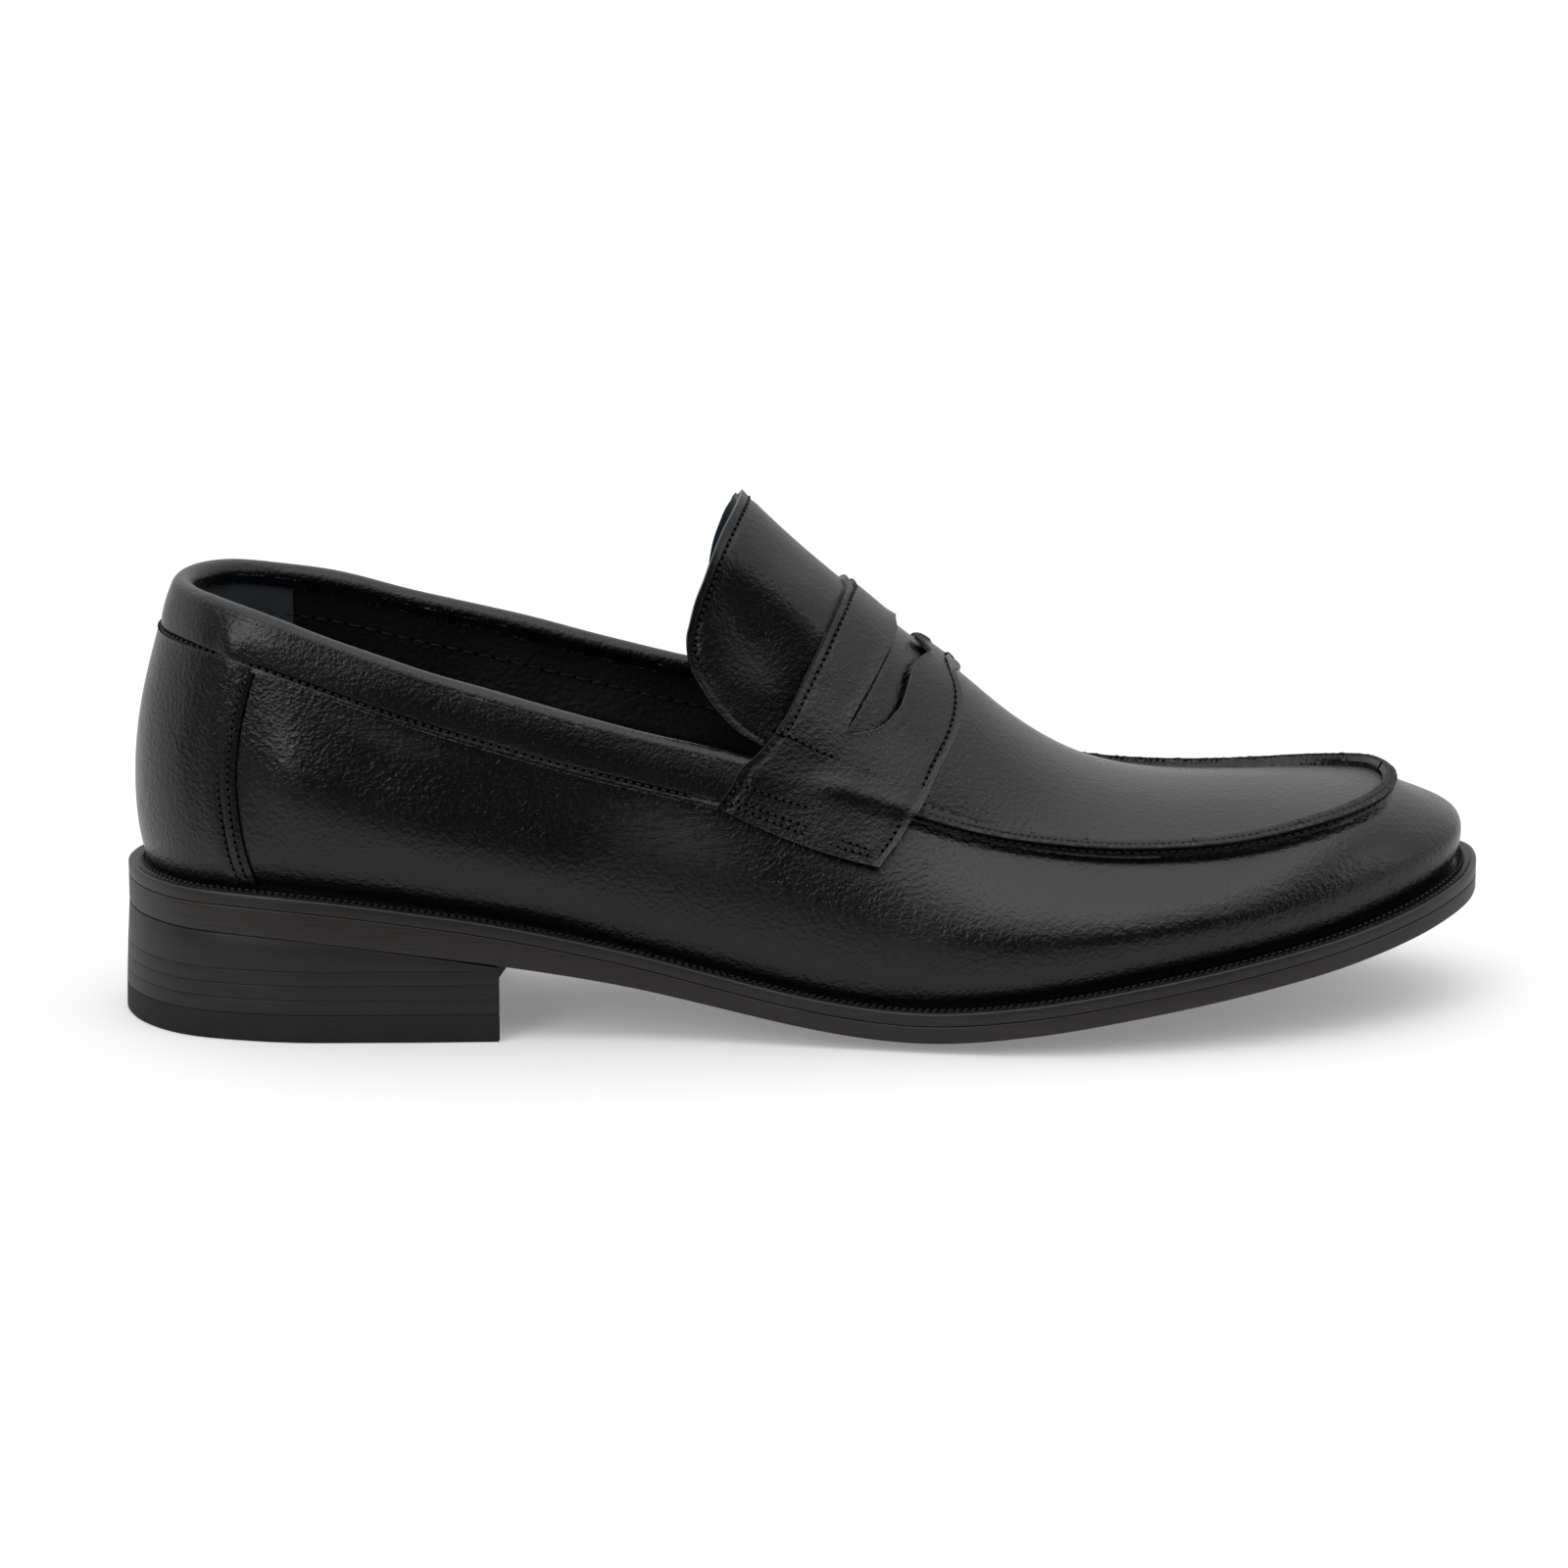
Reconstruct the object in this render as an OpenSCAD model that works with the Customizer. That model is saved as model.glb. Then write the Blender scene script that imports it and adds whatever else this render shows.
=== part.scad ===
// Penny loafer, right foot: leather upper, saddle strap, tongue, lining, welt,
// outsole and stacked heel.  Millimetres.  +X runs to the toe, +Y to the inner
// (medial) side, +Z up.  The origin is the centre of the heel seat, on the ground.

/* [Shoe size] */
// Outsole length from the back of the heel to the tip of the toe
sole_length = 304; // [290:1:318]
// Outsole width across the ball of the foot
ball_width = 102; // [96:1:108]
// Height of the heel block at its back, top piece included
heel_height = 25.5; // [23:0.5:28]

/* [Leather] */
// Thickness of the outer leather
leather = 1.2; // [1:0.1:1.3]
// Thickness of the lining leather
lining = 0.8; // [0.6:0.1:0.9]
// Thickness of the folded collar leather
binding = 0.9; // [0.7:0.1:1]
// Thickness of the heel counter and of the toe puff
stiffener = 1; // [0.8:0.1:1.1]
// Air left between two layers
gap = 0.15; // [0.12:0.01:0.2]

/* [Sole] */
// Thickness of the welt
welt_t = 3; // [2.6:0.1:3.2]
// Thickness of the outsole under the ball
outsole_t = 4; // [3.6:0.1:4.2]
// Thickness of the outsole under the heel
seat_t = 6.3; // [5.8:0.1:6.6]
// Thickness of the insole board
insole_t = 2.4; // [2:0.1:2.8]
// Thickness of the sock liner
sock_t = 1; // [0.8:0.1:1.4]
// Thickness of the rubber top piece
top_piece_t = 6.4; // [5.4:0.2:7]

/* [Fit] */
// Width of the collar band on the outside
collar_w = 13; // [11:0.5:14]
// Height of the raised apron seam
ridge_h = 2.2; // [1.6:0.1:2.6]
// Distance between two stitches
pitch = 3.4; // [3:0.1:5]

/* [Hidden] */

base_length = 304;
seat_x = 34;
kx = sole_length / base_length;
ky = ball_width / 102;

black = [0.06, 0.06, 0.07];
soft = [0.12, 0.13, 0.16];
board = [0.62, 0.5, 0.36];
stack = [0.16, 0.11, 0.09];
rubber = [0.1, 0.1, 0.1];
steel = [0.6, 0.62, 0.65];

// ---- smooth curves through key values -------------------------------------
function seg(T, x, i = 0) = (i > len(T) - 3 || x < T[i + 1][0]) ? i : seg(T, x, i + 1);
function rise(T, i) = (T[i + 1][1] - T[i][1]) / (T[i + 1][0] - T[i][0]);
function rate(T, i) = i == 0 ? rise(T, 0)
    : i == len(T) - 1 ? rise(T, i - 1)
    : let (a = T[i][0] - T[i - 1][0], b = T[i + 1][0] - T[i][0])
        (rise(T, i - 1) * b + rise(T, i) * a) / (a + b);
function curve(T, x0) =
    let (x = min(max(x0, T[0][0]), T[len(T) - 1][0]), i = seg(T, x))
    let (h = T[i + 1][0] - T[i][0], t = (x - T[i][0]) / h)
    (2 * t ^ 3 - 3 * t ^ 2 + 1) * T[i][1] + (t ^ 3 - 2 * t ^ 2 + t) * h * rate(T, i)
    + (3 * t ^ 2 - 2 * t ^ 3) * T[i + 1][1] + (t ^ 3 - t ^ 2) * h * rate(T, i + 1);
function fine(T) = [for (s = [0:2:base_length]) [s, curve(T, s)]];
function step(a, b, x) = let (t = min(max((x - a) / (b - a), 0), 1)) t * t * (3 - 2 * t);
function unit(a) = a / norm(a);

// ---- outline of the sole ----------------------------------------------------
// s is the distance from the back of the heel, y the distance from the seat line.
outline = [[0, 0], [3.5, -14], [13, -25.5], [32, -32.5], [60, -33.5], [95, -32.5],
    [130, -34], [165, -39.5], [195, -44], [222, -43.5], [250, -37.3], [275, -26.8],
    [293.5, -13], [301.3, -1], [304, 13], [302.6, 25], [294, 37], [271, 47.5], [243, 54.5],
    [218, 58], [192, 55], [165, 45], [135, 35.5], [105, 31.5], [70, 32.5], [40, 33],
    [16, 27], [4.5, 15.5]];
tip = 14;
sized = [for (p = outline) [(p[0] - seat_x) * kx, p[1] * ky]];
count = len(sized);
chords = [for (i = -2, d = -norm(sized[0] - sized[count - 1])
        - norm(sized[count - 1] - sized[count - 2]);
    i <= count + 2;
    d = d + norm(sized[(i + 1 + count) % count] - sized[(i + count) % count]), i = i + 1)
    [d, sized[(i + count) % count]]];
half_a = chords[tip + 2][0];
half_b = chords[count + 2][0];
// g runs round the outline: 0 back of the heel, 0..1 outer side, 1 toe tip, 1..2 inner side
function ring(g0) = let (g = g0 < 0 ? g0 + 2 : g0)
    curve(chords, g <= 1 ? g * half_a : half_a + (g - 1) * (half_b - half_a));
function out(g) = let (d = ring(g + 0.002) - ring(g - 0.002)) unit([d[1], -d[0]]);
function inset(g, d) = ring(g) - out(g) * d;
outer_g = [for (k = [0:1:100]) [ring(k / 100)[0] / kx + seat_x, k / 100]];
inner_g = [for (k = [0:1:100]) [ring(2 - k / 100)[0] / kx + seat_x, 2 - k / 100]];
function g_outer(s) = lookup(s, outer_g);
function g_inner(s) = lookup(s, inner_g);
function station(p) = p[0] / kx + seat_x;

// ---- heights and widths along the shoe --------------------------------------
welt_top = fine([[0, 34.2], [40, 33], [60, 30.5], [80, 27.2], [97, 23.4], [115, 19],
    [134, 13.8], [150, 10], [175, 7], [200, 9], [225, 13.2], [250, 17.6], [275, 22.8],
    [304, 31.4]]);
edge_lift = fine([[0, 0], [70, 0], [115, 1], [160, 2], [220, 2], [275, 1], [304, 0]]);
sole_cut = fine([[0, seat_t], [83, seat_t], [110, outsole_t + 1], [140, outsole_t + 0.2],
    [175, outsole_t], [304, outsole_t]]);
welt_show = fine([[0, 5.6], [30, 5.8], [90, 4.6], [150, 4], [200, 5], [304, 5.2]]);
spine_y = fine([[33, 0], [90, 1], [140, 4], [180, 7], [220, 9], [262, 8]]);
bulge = fine([[0, 2.4], [40, 4], [90, 4.2], [140, 3.6], [200, 3.4], [262, 2.6], [304, 2.6]]);
waist_h = fine([[0, 17], [60, 17], [140, 18], [200, 12], [262, 8], [304, 7]]);
edge_r = fine([[0, 21], [15, 23], [33, 26.5], [60, 29.5], [90, 30.5], [120, 31.5],
    [140, 32], [165, 32.5], [190, 32], [215, 32], [240, 30.5], [262, 27.5], [285, 24],
    [304, 21]]);
edge_outer = fine([[0, 98.7], [14, 98.3], [22, 97.3], [33, 94.9], [48, 90.2], [65, 84.3],
    [82, 79.2], [99, 74], [116, 69.5], [138, 63.8], [150, 60], [160, 56.5], [170, 52.5],
    [180, 48.7], [190, 45.5], [205, 42.6], [220, 41], [235, 41], [250, 42.2], [265, 45],
    [285, 48.5], [304, 50.5]]);
edge_inner = fine([[0, 98.7], [14, 98.4], [22, 97.6], [33, 95.8], [48, 93], [65, 88.3],
    [82, 84.3], [99, 79.4], [116, 74.6], [138, 69], [150, 65], [160, 61], [170, 56.5],
    [180, 52.5], [190, 50], [205, 47], [220, 44.8], [235, 44.2], [250, 44.8], [265, 46.2],
    [285, 48.4], [304, 50.5]]);
lean = fine([[0, 15], [60, 12], [100, 14], [138, 18], [165, 27], [190, 45], [205, 58],
    [235, 66], [262, 62], [304, 58]]);
crown = fine([[110, 144], [120, 134], [127, 127], [139.6, 115], [147, 107], [151.6, 102.6],
    [162, 93.6], [167, 89.5], [172, 85], [179, 79.6], [187, 74], [191, 70], [196, 65.4],
    [204.5, 59], [213, 53.7], [222, 50.6], [231, 49.1], [246, 48.7], [262, 49.5],
    [275, 50.3], [286, 50.8], [304, 50.4]]);
// extra height carried by a taller heel, fading to nothing at the ball
function heel_rise(s) = (heel_height - 25.5) * max(0, 1 - s / 175) ^ 1.5;
function top_z(s) = lookup(s, welt_top) + heel_rise(s);
function edge_z(s) = top_z(s) + lookup(s, edge_lift);
function inner_stretch(s, a, b) =
    (sqrt((s - a) ^ 2 + 100) - sqrt((s - b) ^ 2 + 100) + a + b) / 2;

// ---- the side surface of the upper ------------------------------------------
// A column is the upright profile of the upper at one place g of the outline:
// feather line, widest point and top edge, all in the plane through the spine.
low = 0.22;
function column(g) =
    let (o = ring(g), s = station(o), f = inset(g, lookup(s, welt_show)))
    let (c = [(inner_stretch(s, 33, 262) - seat_x) * kx, lookup(s, spine_y) * ky])
    let (e = unit(f - c), rf = norm(f - c), zf = edge_z(s) + gap)
    let (rw = rf + lookup(s, bulge), hw = lookup(s, waist_h), zw = zf + hw)
    let (gg = g < 0 ? g + 2 : g, side = gg <= 1 ? edge_outer : edge_inner)
    let (re = lookup(s, edge_r) * ky, ze = lookup(s, side) + heel_rise(s))
    let (span = norm([rw - re, ze - zw]), a = lookup(s, lean))
    [c, e, [[rf, zf], [rw, zf + 0.35 * hw], [rw, zw]],
        [[rw, zw], [rw, zw + 0.38 * (ze - zw)],
            [re + 0.38 * span * sin(a), ze - 0.38 * span * cos(a)], [re, ze]], span, s];
function profile(K, v) = v < low
    ? let (t = v / low, P = K[2])
        [(1 - t) ^ 2 * P[0] + 2 * t * (1 - t) * P[1] + t * t * P[2],
            2 * (1 - t) * (P[1] - P[0]) + 2 * t * (P[2] - P[1])]
    : let (t = (v - low) / (1 - low), P = K[3])
        [(1 - t) ^ 3 * P[0] + 3 * t * (1 - t) ^ 2 * P[1] + 3 * t * t * (1 - t) * P[2]
            + t ^ 3 * P[3],
            (1 - t) ^ 2 * (P[1] - P[0]) + 2 * t * (1 - t) * (P[2] - P[1])
            + t * t * (P[3] - P[2])];
function place(K, p, d, off) = let (n = unit([d[1], -d[0]]), q = p + n * off)
    [K[0][0] + K[1][0] * q[0], K[0][1] + K[1][1] * q[0], q[1]];
function side_at(K, v, off) = let (p = profile(K, v)) place(K, p[0], p[1], off);
// the same surface, measured down from the top edge in millimetres
function edge_at(K, h, off) = h > 0
    ? side_at(K, 1 - (1 - low) * h / (1.14 * K[4]), off)
    : let (p = profile(K, 1)) place(K, p[0] - unit(p[1]) * h, p[1], off);

// ---- the domed surface over the instep and the toe ---------------------------
dome_n = 2.1;
function dome_cols(K, L, q) =
    let (a = edge_at(K, 0, 0), b = edge_at(L, 0, 0), m = (a + b) / 2)
    let (s = station(m), h = lookup(s, crown) + heel_rise(s) - m[2])
    a * (1 - q) / 2 + b * (1 + q) / 2 + [0, 0, h * (1 - abs(q) ^ dome_n)];
// q runs from -1 (outer edge) over the crown to 1; beyond that it goes down the side
side_run = 35;
function skin(s, q) = abs(q) <= 1
    ? dome_cols(column(g_outer(s)), column(g_inner(s)), q)
    : edge_at(column(q < 0 ? g_outer(s) : g_inner(s)), (abs(q) - 1) * side_run, 0);

// ---- solids from grids of points ---------------------------------------------
function pick(P, i, j) = P[min(max(i, 0), len(P) - 1)][min(max(j, 0), len(P[0]) - 1)];
function facing(P, i, j) = unit(cross(pick(P, i, j + 1) - pick(P, i, j - 1),
    pick(P, i + 1, j) - pick(P, i - 1, j)));
function shifted(P, D) = [for (i = [0:len(P) - 1]) [for (j = [0:len(P[0]) - 1])
    P[i][j] + facing(P, i, j) * (is_list(D) ? is_list(D[i]) ? D[i][j] : D[i] : D)]];
function flat(P) = [for (r = P) for (p = r) p];
// closed solid between the grid A and the grid B; loop joins the last column to the first
module slab(A, B, loop = false) {
    nr = len(A);
    nc = len(A[0]);
    nj = loop ? nc - 1 : nc - 2;
    m = nr * nc;
    function id(k, i, j) = k * m + i * nc + j % nc;
    function quad(a, b, c, d) = [[a, b, c], [a, c, d]];
    skin_a = [for (i = [0:nr - 2]) for (j = [0:nj]) for (t = quad(id(0, i, j),
        id(0, i + 1, j), id(0, i + 1, j + 1), id(0, i, j + 1))) t];
    skin_b = [for (i = [0:nr - 2]) for (j = [0:nj]) for (t = quad(id(1, i, j),
        id(1, i, j + 1), id(1, i + 1, j + 1), id(1, i + 1, j))) t];
    rims = [for (j = [0:nj]) for (t = concat(
        quad(id(0, 0, j), id(0, 0, j + 1), id(1, 0, j + 1), id(1, 0, j)),
        quad(id(0, nr - 1, j), id(1, nr - 1, j), id(1, nr - 1, j + 1), id(0, nr - 1, j + 1))))
        t];
    ends = loop ? [] : [for (i = [0:nr - 2]) for (t = concat(
        quad(id(0, i, 0), id(1, i, 0), id(1, i + 1, 0), id(0, i + 1, 0)),
        quad(id(0, i, nc - 1), id(0, i + 1, nc - 1), id(1, i + 1, nc - 1), id(1, i, nc - 1))))
        t];
    polyhedron(points = concat(flat(A), flat(B)),
        faces = concat(skin_a, skin_b, rims, ends), convexity = 8);
}
function spread(a, b, n) = [for (k = [0:n]) a + (b - a) * k / n];
// Every layer of the upper shares these columns and rows, so the facets nest.
throat = 146;
apron_end = 301;
function apron_station(t, rear) = let (e = (1 - t) ^ 1.6) apron_end * (1 - e) + rear * e;
apron_ts = spread(0, 1, 24);
stations = concat([0.8, 3.4, 8, 13.6, 20, 29, 33.4, 34, 42, 50, 58, 66, 74, 84, 95, 106, 118,
    130, 141], [for (t = apron_ts) apron_station(t, throat)]);
outer_cols = [for (s = stations) g_outer(s)];
inner_cols = [for (k = [len(stations) - 1:-1:0]) g_inner(stations[k])];
all_cols = concat([for (g = inner_cols) g - 2], [0], outer_cols, [1], inner_cols);
lining_front = apron_station(apron_ts[2], throat);
puff_rear = apron_station(apron_ts[14], throat);
function cols(a, b) = concat([a], [for (g = all_cols) if (g > a + 0.004 && g < b - 0.004) g], [b]);
function rows(a, b) = concat([a], [for (v = [0.03, 0.12, 0.22, 0.36, 0.5, 0.64, 0.76, 0.88])
    if (v > a + 0.01 && v < b - 0.01) v]);
// one layer of the side between the rows vs, plus rows measured down from the top edge
module side_layer(gs, vs, hs, off, t) {
    K = [for (g = gs) column(g)];
    function face(o) = concat([for (v = vs) [for (c = K) side_at(c, v, o)]],
        [for (h = hs) [for (c = K) edge_at(c, h, o)]]);
    slab(face(off), face(off - t));
}
// the columns of a sheet that lies flat in the shoe, d inside the outline
function sole_edge(g, d) = inset(g, d + lookup(station(ring(g)), welt_show));
function sole_point(u, q, d, lift) =
    let (a = sole_edge(u, d), b = sole_edge(2 - u, d), p = a * (1 - q) / 2 + b * (1 + q) / 2)
    let (s = station(p), m = q * norm(a - b) / norm(ring(u) - ring(2 - u)))
    [p[0], p[1], top_z(s) + lookup(s, edge_lift) * m * m + lift];
function sheet(us, d, lift) = [for (q = spread(-1, 1, 6)) [for (u = us)
    sole_point(u, q, d, lift)]];
full_run = concat([0.006, 0.02], spread(0.04, 0.96, 30), [0.98, 0.994]);

layer_stiff = -leather - gap;
layer_lining = layer_stiff - stiffener - gap;
lining_in = layer_lining - lining;
cover_s = 29;
g_seam = g_outer(cover_s);
g_seam_in = 2 - g_inner(cover_s);
// the roll of the collar is centred a little below the top edge
roll_h = (gap + binding - lining_in + gap + binding) / 2 - 0.4;
g_front = g_outer(141);
g_front_in = 2 - g_inner(141);

// ---- sole -------------------------------------------------------------------
heel_end = 84;
module heel_plan() {
    intersection() {
        polygon([for (k = [0:119]) ring(k / 60)]);
        difference() {
            translate([-seat_x * kx - 5, -50 * ky])
                square([(heel_end + 5) * kx, 100 * ky]);
            translate([(heel_end - seat_x + 152) * kx - 0.01, 0])
                circle(r = 155, $fn = 180);
        }
    }
}
nail_at = [[-24, 0], [-15, -17], [-15, 17], [8, -20], [8, 20], [32, -18], [32, 18]];
nail_d = 2;
nail_head = 4;
nail_z = 1;
nail_top = 15.5;
module nail_holes(d, z0, z1) {
    for (p = nail_at)
        translate([p[0], p[1], z0])
            cylinder(d = d, h = z1 - z0, $fn = 24);
}
lift_t = (16.3 + heel_height - 25.5 - top_piece_t) / 3;
module heel_lift(k) {
    z0 = top_piece_t + k * lift_t;
    color(stack)
        difference() {
            translate([0, 0, z0 + gap / 2])
                linear_extrude(lift_t - gap / 2)
                    heel_plan();
            nail_holes(nail_d + 0.2, z0 - 1, min(nail_top + 0.2, z0 + lift_t + 1));
        }
}
module heel_lift_1() {
    heel_lift(0);
}
module heel_lift_2() {
    heel_lift(1);
}
module heel_lift_3() {
    heel_lift(2);
}
module top_piece() {
    color(rubber)
        difference() {
            linear_extrude(top_piece_t)
                heel_plan();
            nail_holes(nail_d + 0.2, -1, top_piece_t + 1);
            nail_holes(nail_head + 0.2, -1, nail_z + 1.1);
        }
}
module heel_nails() {
    color(steel)
        for (p = nail_at)
            translate([p[0], p[1], nail_z]) {
                cylinder(d = nail_head, h = 1, $fn = 24);
                cylinder(d = nail_d, h = nail_top - nail_z, $fn = 24);
            }
}
// grid of the outsole and heel wedge, right out to the edge of the outline
function edge_grid(us, z) = [for (q = spread(-1, 1, 6)) [for (u = us)
    let (a = ring(u), b = ring(2 - u), p = a * (1 - q) / 2 + b * (1 + q) / 2)
    let (s = station(p)) [p[0], p[1], z == 0
        ? top_z(s) + lookup(s, edge_lift) * q * q - welt_t - gap
        : top_z(s) + lookup(s, edge_lift) * q * q - welt_t - z * lookup(s, sole_cut)]]];
module outsole() {
    color(stack)
        slab(edge_grid(full_run, 0), edge_grid(full_run, 1));
}
module heel_wedge() {
    z0 = top_piece_t + 3 * lift_t + gap / 2;
    seat = [for (y = [-50, 50]) [for (s = [-10:5:100])
        [(s - seat_x) * kx, y, top_z(s) - welt_t - lookup(s, sole_cut) - gap - 0.1]]];
    color(stack)
        difference() {
            translate([0, 0, z0])
                linear_extrude(20)
                    heel_plan();
            slab([for (r = seat) [for (p = r) [p[0], p[1], 60]]], seat);
        }
}
module welt() {
    welt_w = 14;
    gs = [for (k = [0:95]) k / 48];
    A = [for (g = gs) let (o = ring(g), s = station(o)) [o, edge_z(s)]];
    B = [for (g = gs) let (i = inset(g, welt_w)) [i, station(i)]];
    up = [[for (a = A) [a[0][0], a[0][1], a[1]]],
        [for (b = B) [b[0][0], b[0][1], edge_z(b[1]) - 0.5 * lookup(b[1], edge_lift)]]];
    color(black)
        slab(up, [for (r = up) [for (p = r) p - [0, 0, welt_t]]], true);
}
module filler() {
    us = spread(g_outer(128), 0.975, 20);
    d = 11;
    color(board)
        slab(sheet(us, d, -gap - 0.05), sheet(us, d, -welt_t + gap));
}
module insole() {
    color(board)
        slab(sheet(full_run, 5, 2 * gap + insole_t), sheet(full_run, 5, 2 * gap));
}
module heel_pad() {
    us = spread(0.03, 0.27, 12);
    z = 3 * gap + insole_t;
    color(soft)
        slab(sheet(us, 9, z + 1.6), sheet(us, 9, z));
}
module sock_liner() {
    z = 4 * gap + insole_t + 1.6;
    color(soft)
        slab(sheet(full_run, 5.4, z + sock_t), sheet(full_run, 5.4, z));
}
module shank() {
    xs = spread(36, 122, 16);
    wide = 15;
    function bed(s) = top_z(s) - welt_t / 2;
    A = [for (y = [-wide / 2, wide / 2]) [for (s = xs)
        [(s - seat_x) * kx, y + lookup(s, spine_y), bed(s) + 0.6]]];
    color(steel)
        slab(A, [for (r = A) [for (p = r) p - [0, 0, 1.2]]]);
}

// ---- upper ------------------------------------------------------------------
module side_wrap() {
    K = [for (g = cols(g_outer(20), g_inner(20))) column(g)];
    vs = rows(0, 0.9);
    function up(c) = ridge_h * step(179, 184, c[5]) + 0.05;
    function drop(c) = 1.4 + 0.5 * (1 - step(150, 179, c[5])) + 1.7 * (1 - step(141, 150, c[5]));
    A = concat([for (v = vs) [for (c = K) side_at(c, v, 0)]],
        [[for (c = K) edge_at(c, drop(c), 0)], [for (c = K) edge_at(c, drop(c) - 0.1, up(c))]]);
    B = concat([for (v = vs) [for (c = K) side_at(c, v, -leather)]],
        [[for (c = K) edge_at(c, drop(c) - 1.1, -leather)],
            [for (c = K) edge_at(c, drop(c) - 1.2, up(c))]]);
    color(black)
        slab(A, B);
}
module apron() {
    ts = apron_ts;
    qs = [-0.97, -0.9, -0.78, -0.6, -0.4, -0.2, 0, 0.2, 0.4, 0.6, 0.78, 0.9, 0.97];
    function s_of(t, q) =
        apron_station(t, max(strap_rear(q) + 0.6, throat * step(0.7, 0.9, abs(q))));
    // the underside is skived thinner towards the toe
    function skive(s) = 0.6 * step(240, 270, s);
    function face(up) = [for (q = qs) [for (t = ts) let (s = s_of(t, q))
        skin(s, q) + [0, 0, 0.5 * step(0.7, 1, t) + up * skive(s)]]];
    function rim(q, h, off) = [for (t = ts)
        let (s = s_of(t, q), up = off > 0 ? 0.05 + off * step(179, 184, s) : off + skive(s))
        edge_at(column(q < 0 ? g_outer(s) : g_inner(s)), h, up)];
    A = concat([rim(-1, -1.3, ridge_h), rim(-1, -1.35, 0)], face(0),
        [rim(1, -1.35, 0), rim(1, -1.3, ridge_h)]);
    B = concat([rim(-1, -0.15, ridge_h), rim(-1, -0.15, -leather)], shifted(face(1), -leather),
        [rim(1, -0.15, -leather), rim(1, -0.15, ridge_h)]);
    color(black)
        slab(A, B);
}
module heel_cover() {
    color(black)
        side_layer(cols(-g_seam_in, g_seam), rows(0.015, 0.78), [collar_w + 0.4],
            gap + leather, leather);
}
module heel_counter() {
    color(board)
        side_layer(cols(g_inner(74) - 2, g_outer(74)), concat(rows(0.03, 0.7), [0.76]), [],
            layer_stiff, stiffener);
}
module toe_puff() {
    color(board)
        side_layer(cols(g_outer(puff_rear), g_inner(puff_rear)), rows(0.12, 0.9), [],
            layer_stiff, stiffener);
}
module collar_binding() {
    K = [for (g = cols(-g_front_in, g_front)) column(g)];
    outer = gap + binding;
    inner = lining_in - gap - binding;
    mid = (outer + inner) / 2;
    R = (outer - inner) / 2;
    function path(r) = concat(
        [for (h = [collar_w, collar_w * 0.66, collar_w * 0.33, roll_h]) [h, mid + r]],
        [for (a = [30:30:150]) [roll_h - r * sin(a), mid + r * cos(a)]],
        [for (h = [roll_h, 4, 9]) [h, mid - r]]);
    color(black)
        slab([for (p = path(R)) [for (c = K) edge_at(c, p[0], p[1])]],
            [for (p = path(R - binding)) [for (c = K) edge_at(c, p[0], p[1])]]);
}
module lining_side(a, b) {
    color(soft)
        side_layer(cols(a, b), rows(0.03, 0.9), [roll_h + 0.3], layer_lining, lining);
}
module quarter_lining_outer() {
    lining_side(g_outer(34), g_outer(164));
}
module quarter_lining_inner() {
    lining_side(g_inner(164), g_inner(34));
}
module heel_grip() {
    lining_side(g_inner(33.4) - 2, g_outer(33.4));
}
module vamp_lining() {
    us = cols(g_outer(lining_front), g_outer(apron_station(apron_ts[21], throat)));
    K = [for (u = us) column(u)];
    L = [for (u = us) column(g_inner(station(ring(u))))];
    vs = rows(0.03, 0.9);
    qs = [-0.9, -0.7, -0.45, -0.2, 0, 0.2, 0.45, 0.7, 0.9];
    D = [for (q = qs) [for (j = [0:len(us) - 1]) dome_cols(K[j], L[j], q)]];
    function wrap(off) = concat([for (v = vs) [for (c = K) side_at(c, v, off)]],
        shifted(D, off), [for (k = [len(vs) - 1:-1:0]) [for (c = L) side_at(c, vs[k], off)]]);
    color(soft)
        slab(wrap(layer_lining), wrap(layer_lining - lining));
}

// ---- strap and tongue --------------------------------------------------------
rear_line = [[0, 160], [0.355, 157.6], [0.626, 153.6], [0.81, 149], [0.9, 146], [0.95, 143.3],
    [1.02, 139], [1.22, 135], [1.355, 132], [1.6, 131.5]];
front_line = [[0, 182.8], [0.175, 183.7], [0.306, 185], [0.47, 185.2], [0.657, 183.5],
    [0.868, 179], [1.038, 174.7], [1.282, 170.6], [1.458, 167.1], [1.6, 166]];
function strap_rear(q) = curve(rear_line, abs(q));
function strap_front(q) = curve(front_line, abs(q));
slot_rear = [for (q = spread(-0.83, 0.83, 16)) [strap_rear(q) + 11.3, q]];
slot_front = [[0.852, 160.9], [0.819, 164.5], [0.741, 168.8], [0.64, 171.8], [0.509, 173.3],
    [0.369, 174.3], [0.193, 177.1], [0.08, 178.6], [0, 175.6]];
module strap_slot() {
    fore = concat([for (p = slot_front) [p[1], p[0]]],
        [for (k = [len(slot_front) - 2:-1:0]) [slot_front[k][1], -slot_front[k][0]]]);
    translate([0, 0, 62])
        linear_extrude(60)
            polygon([for (p = concat(slot_rear, fore)) let (x = skin(p[0], p[1])) [x[0], x[1]]]);
}
strap_ts = spread(0, 1, 9);
strap_ps = spread(-1, 1, 30);
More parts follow.
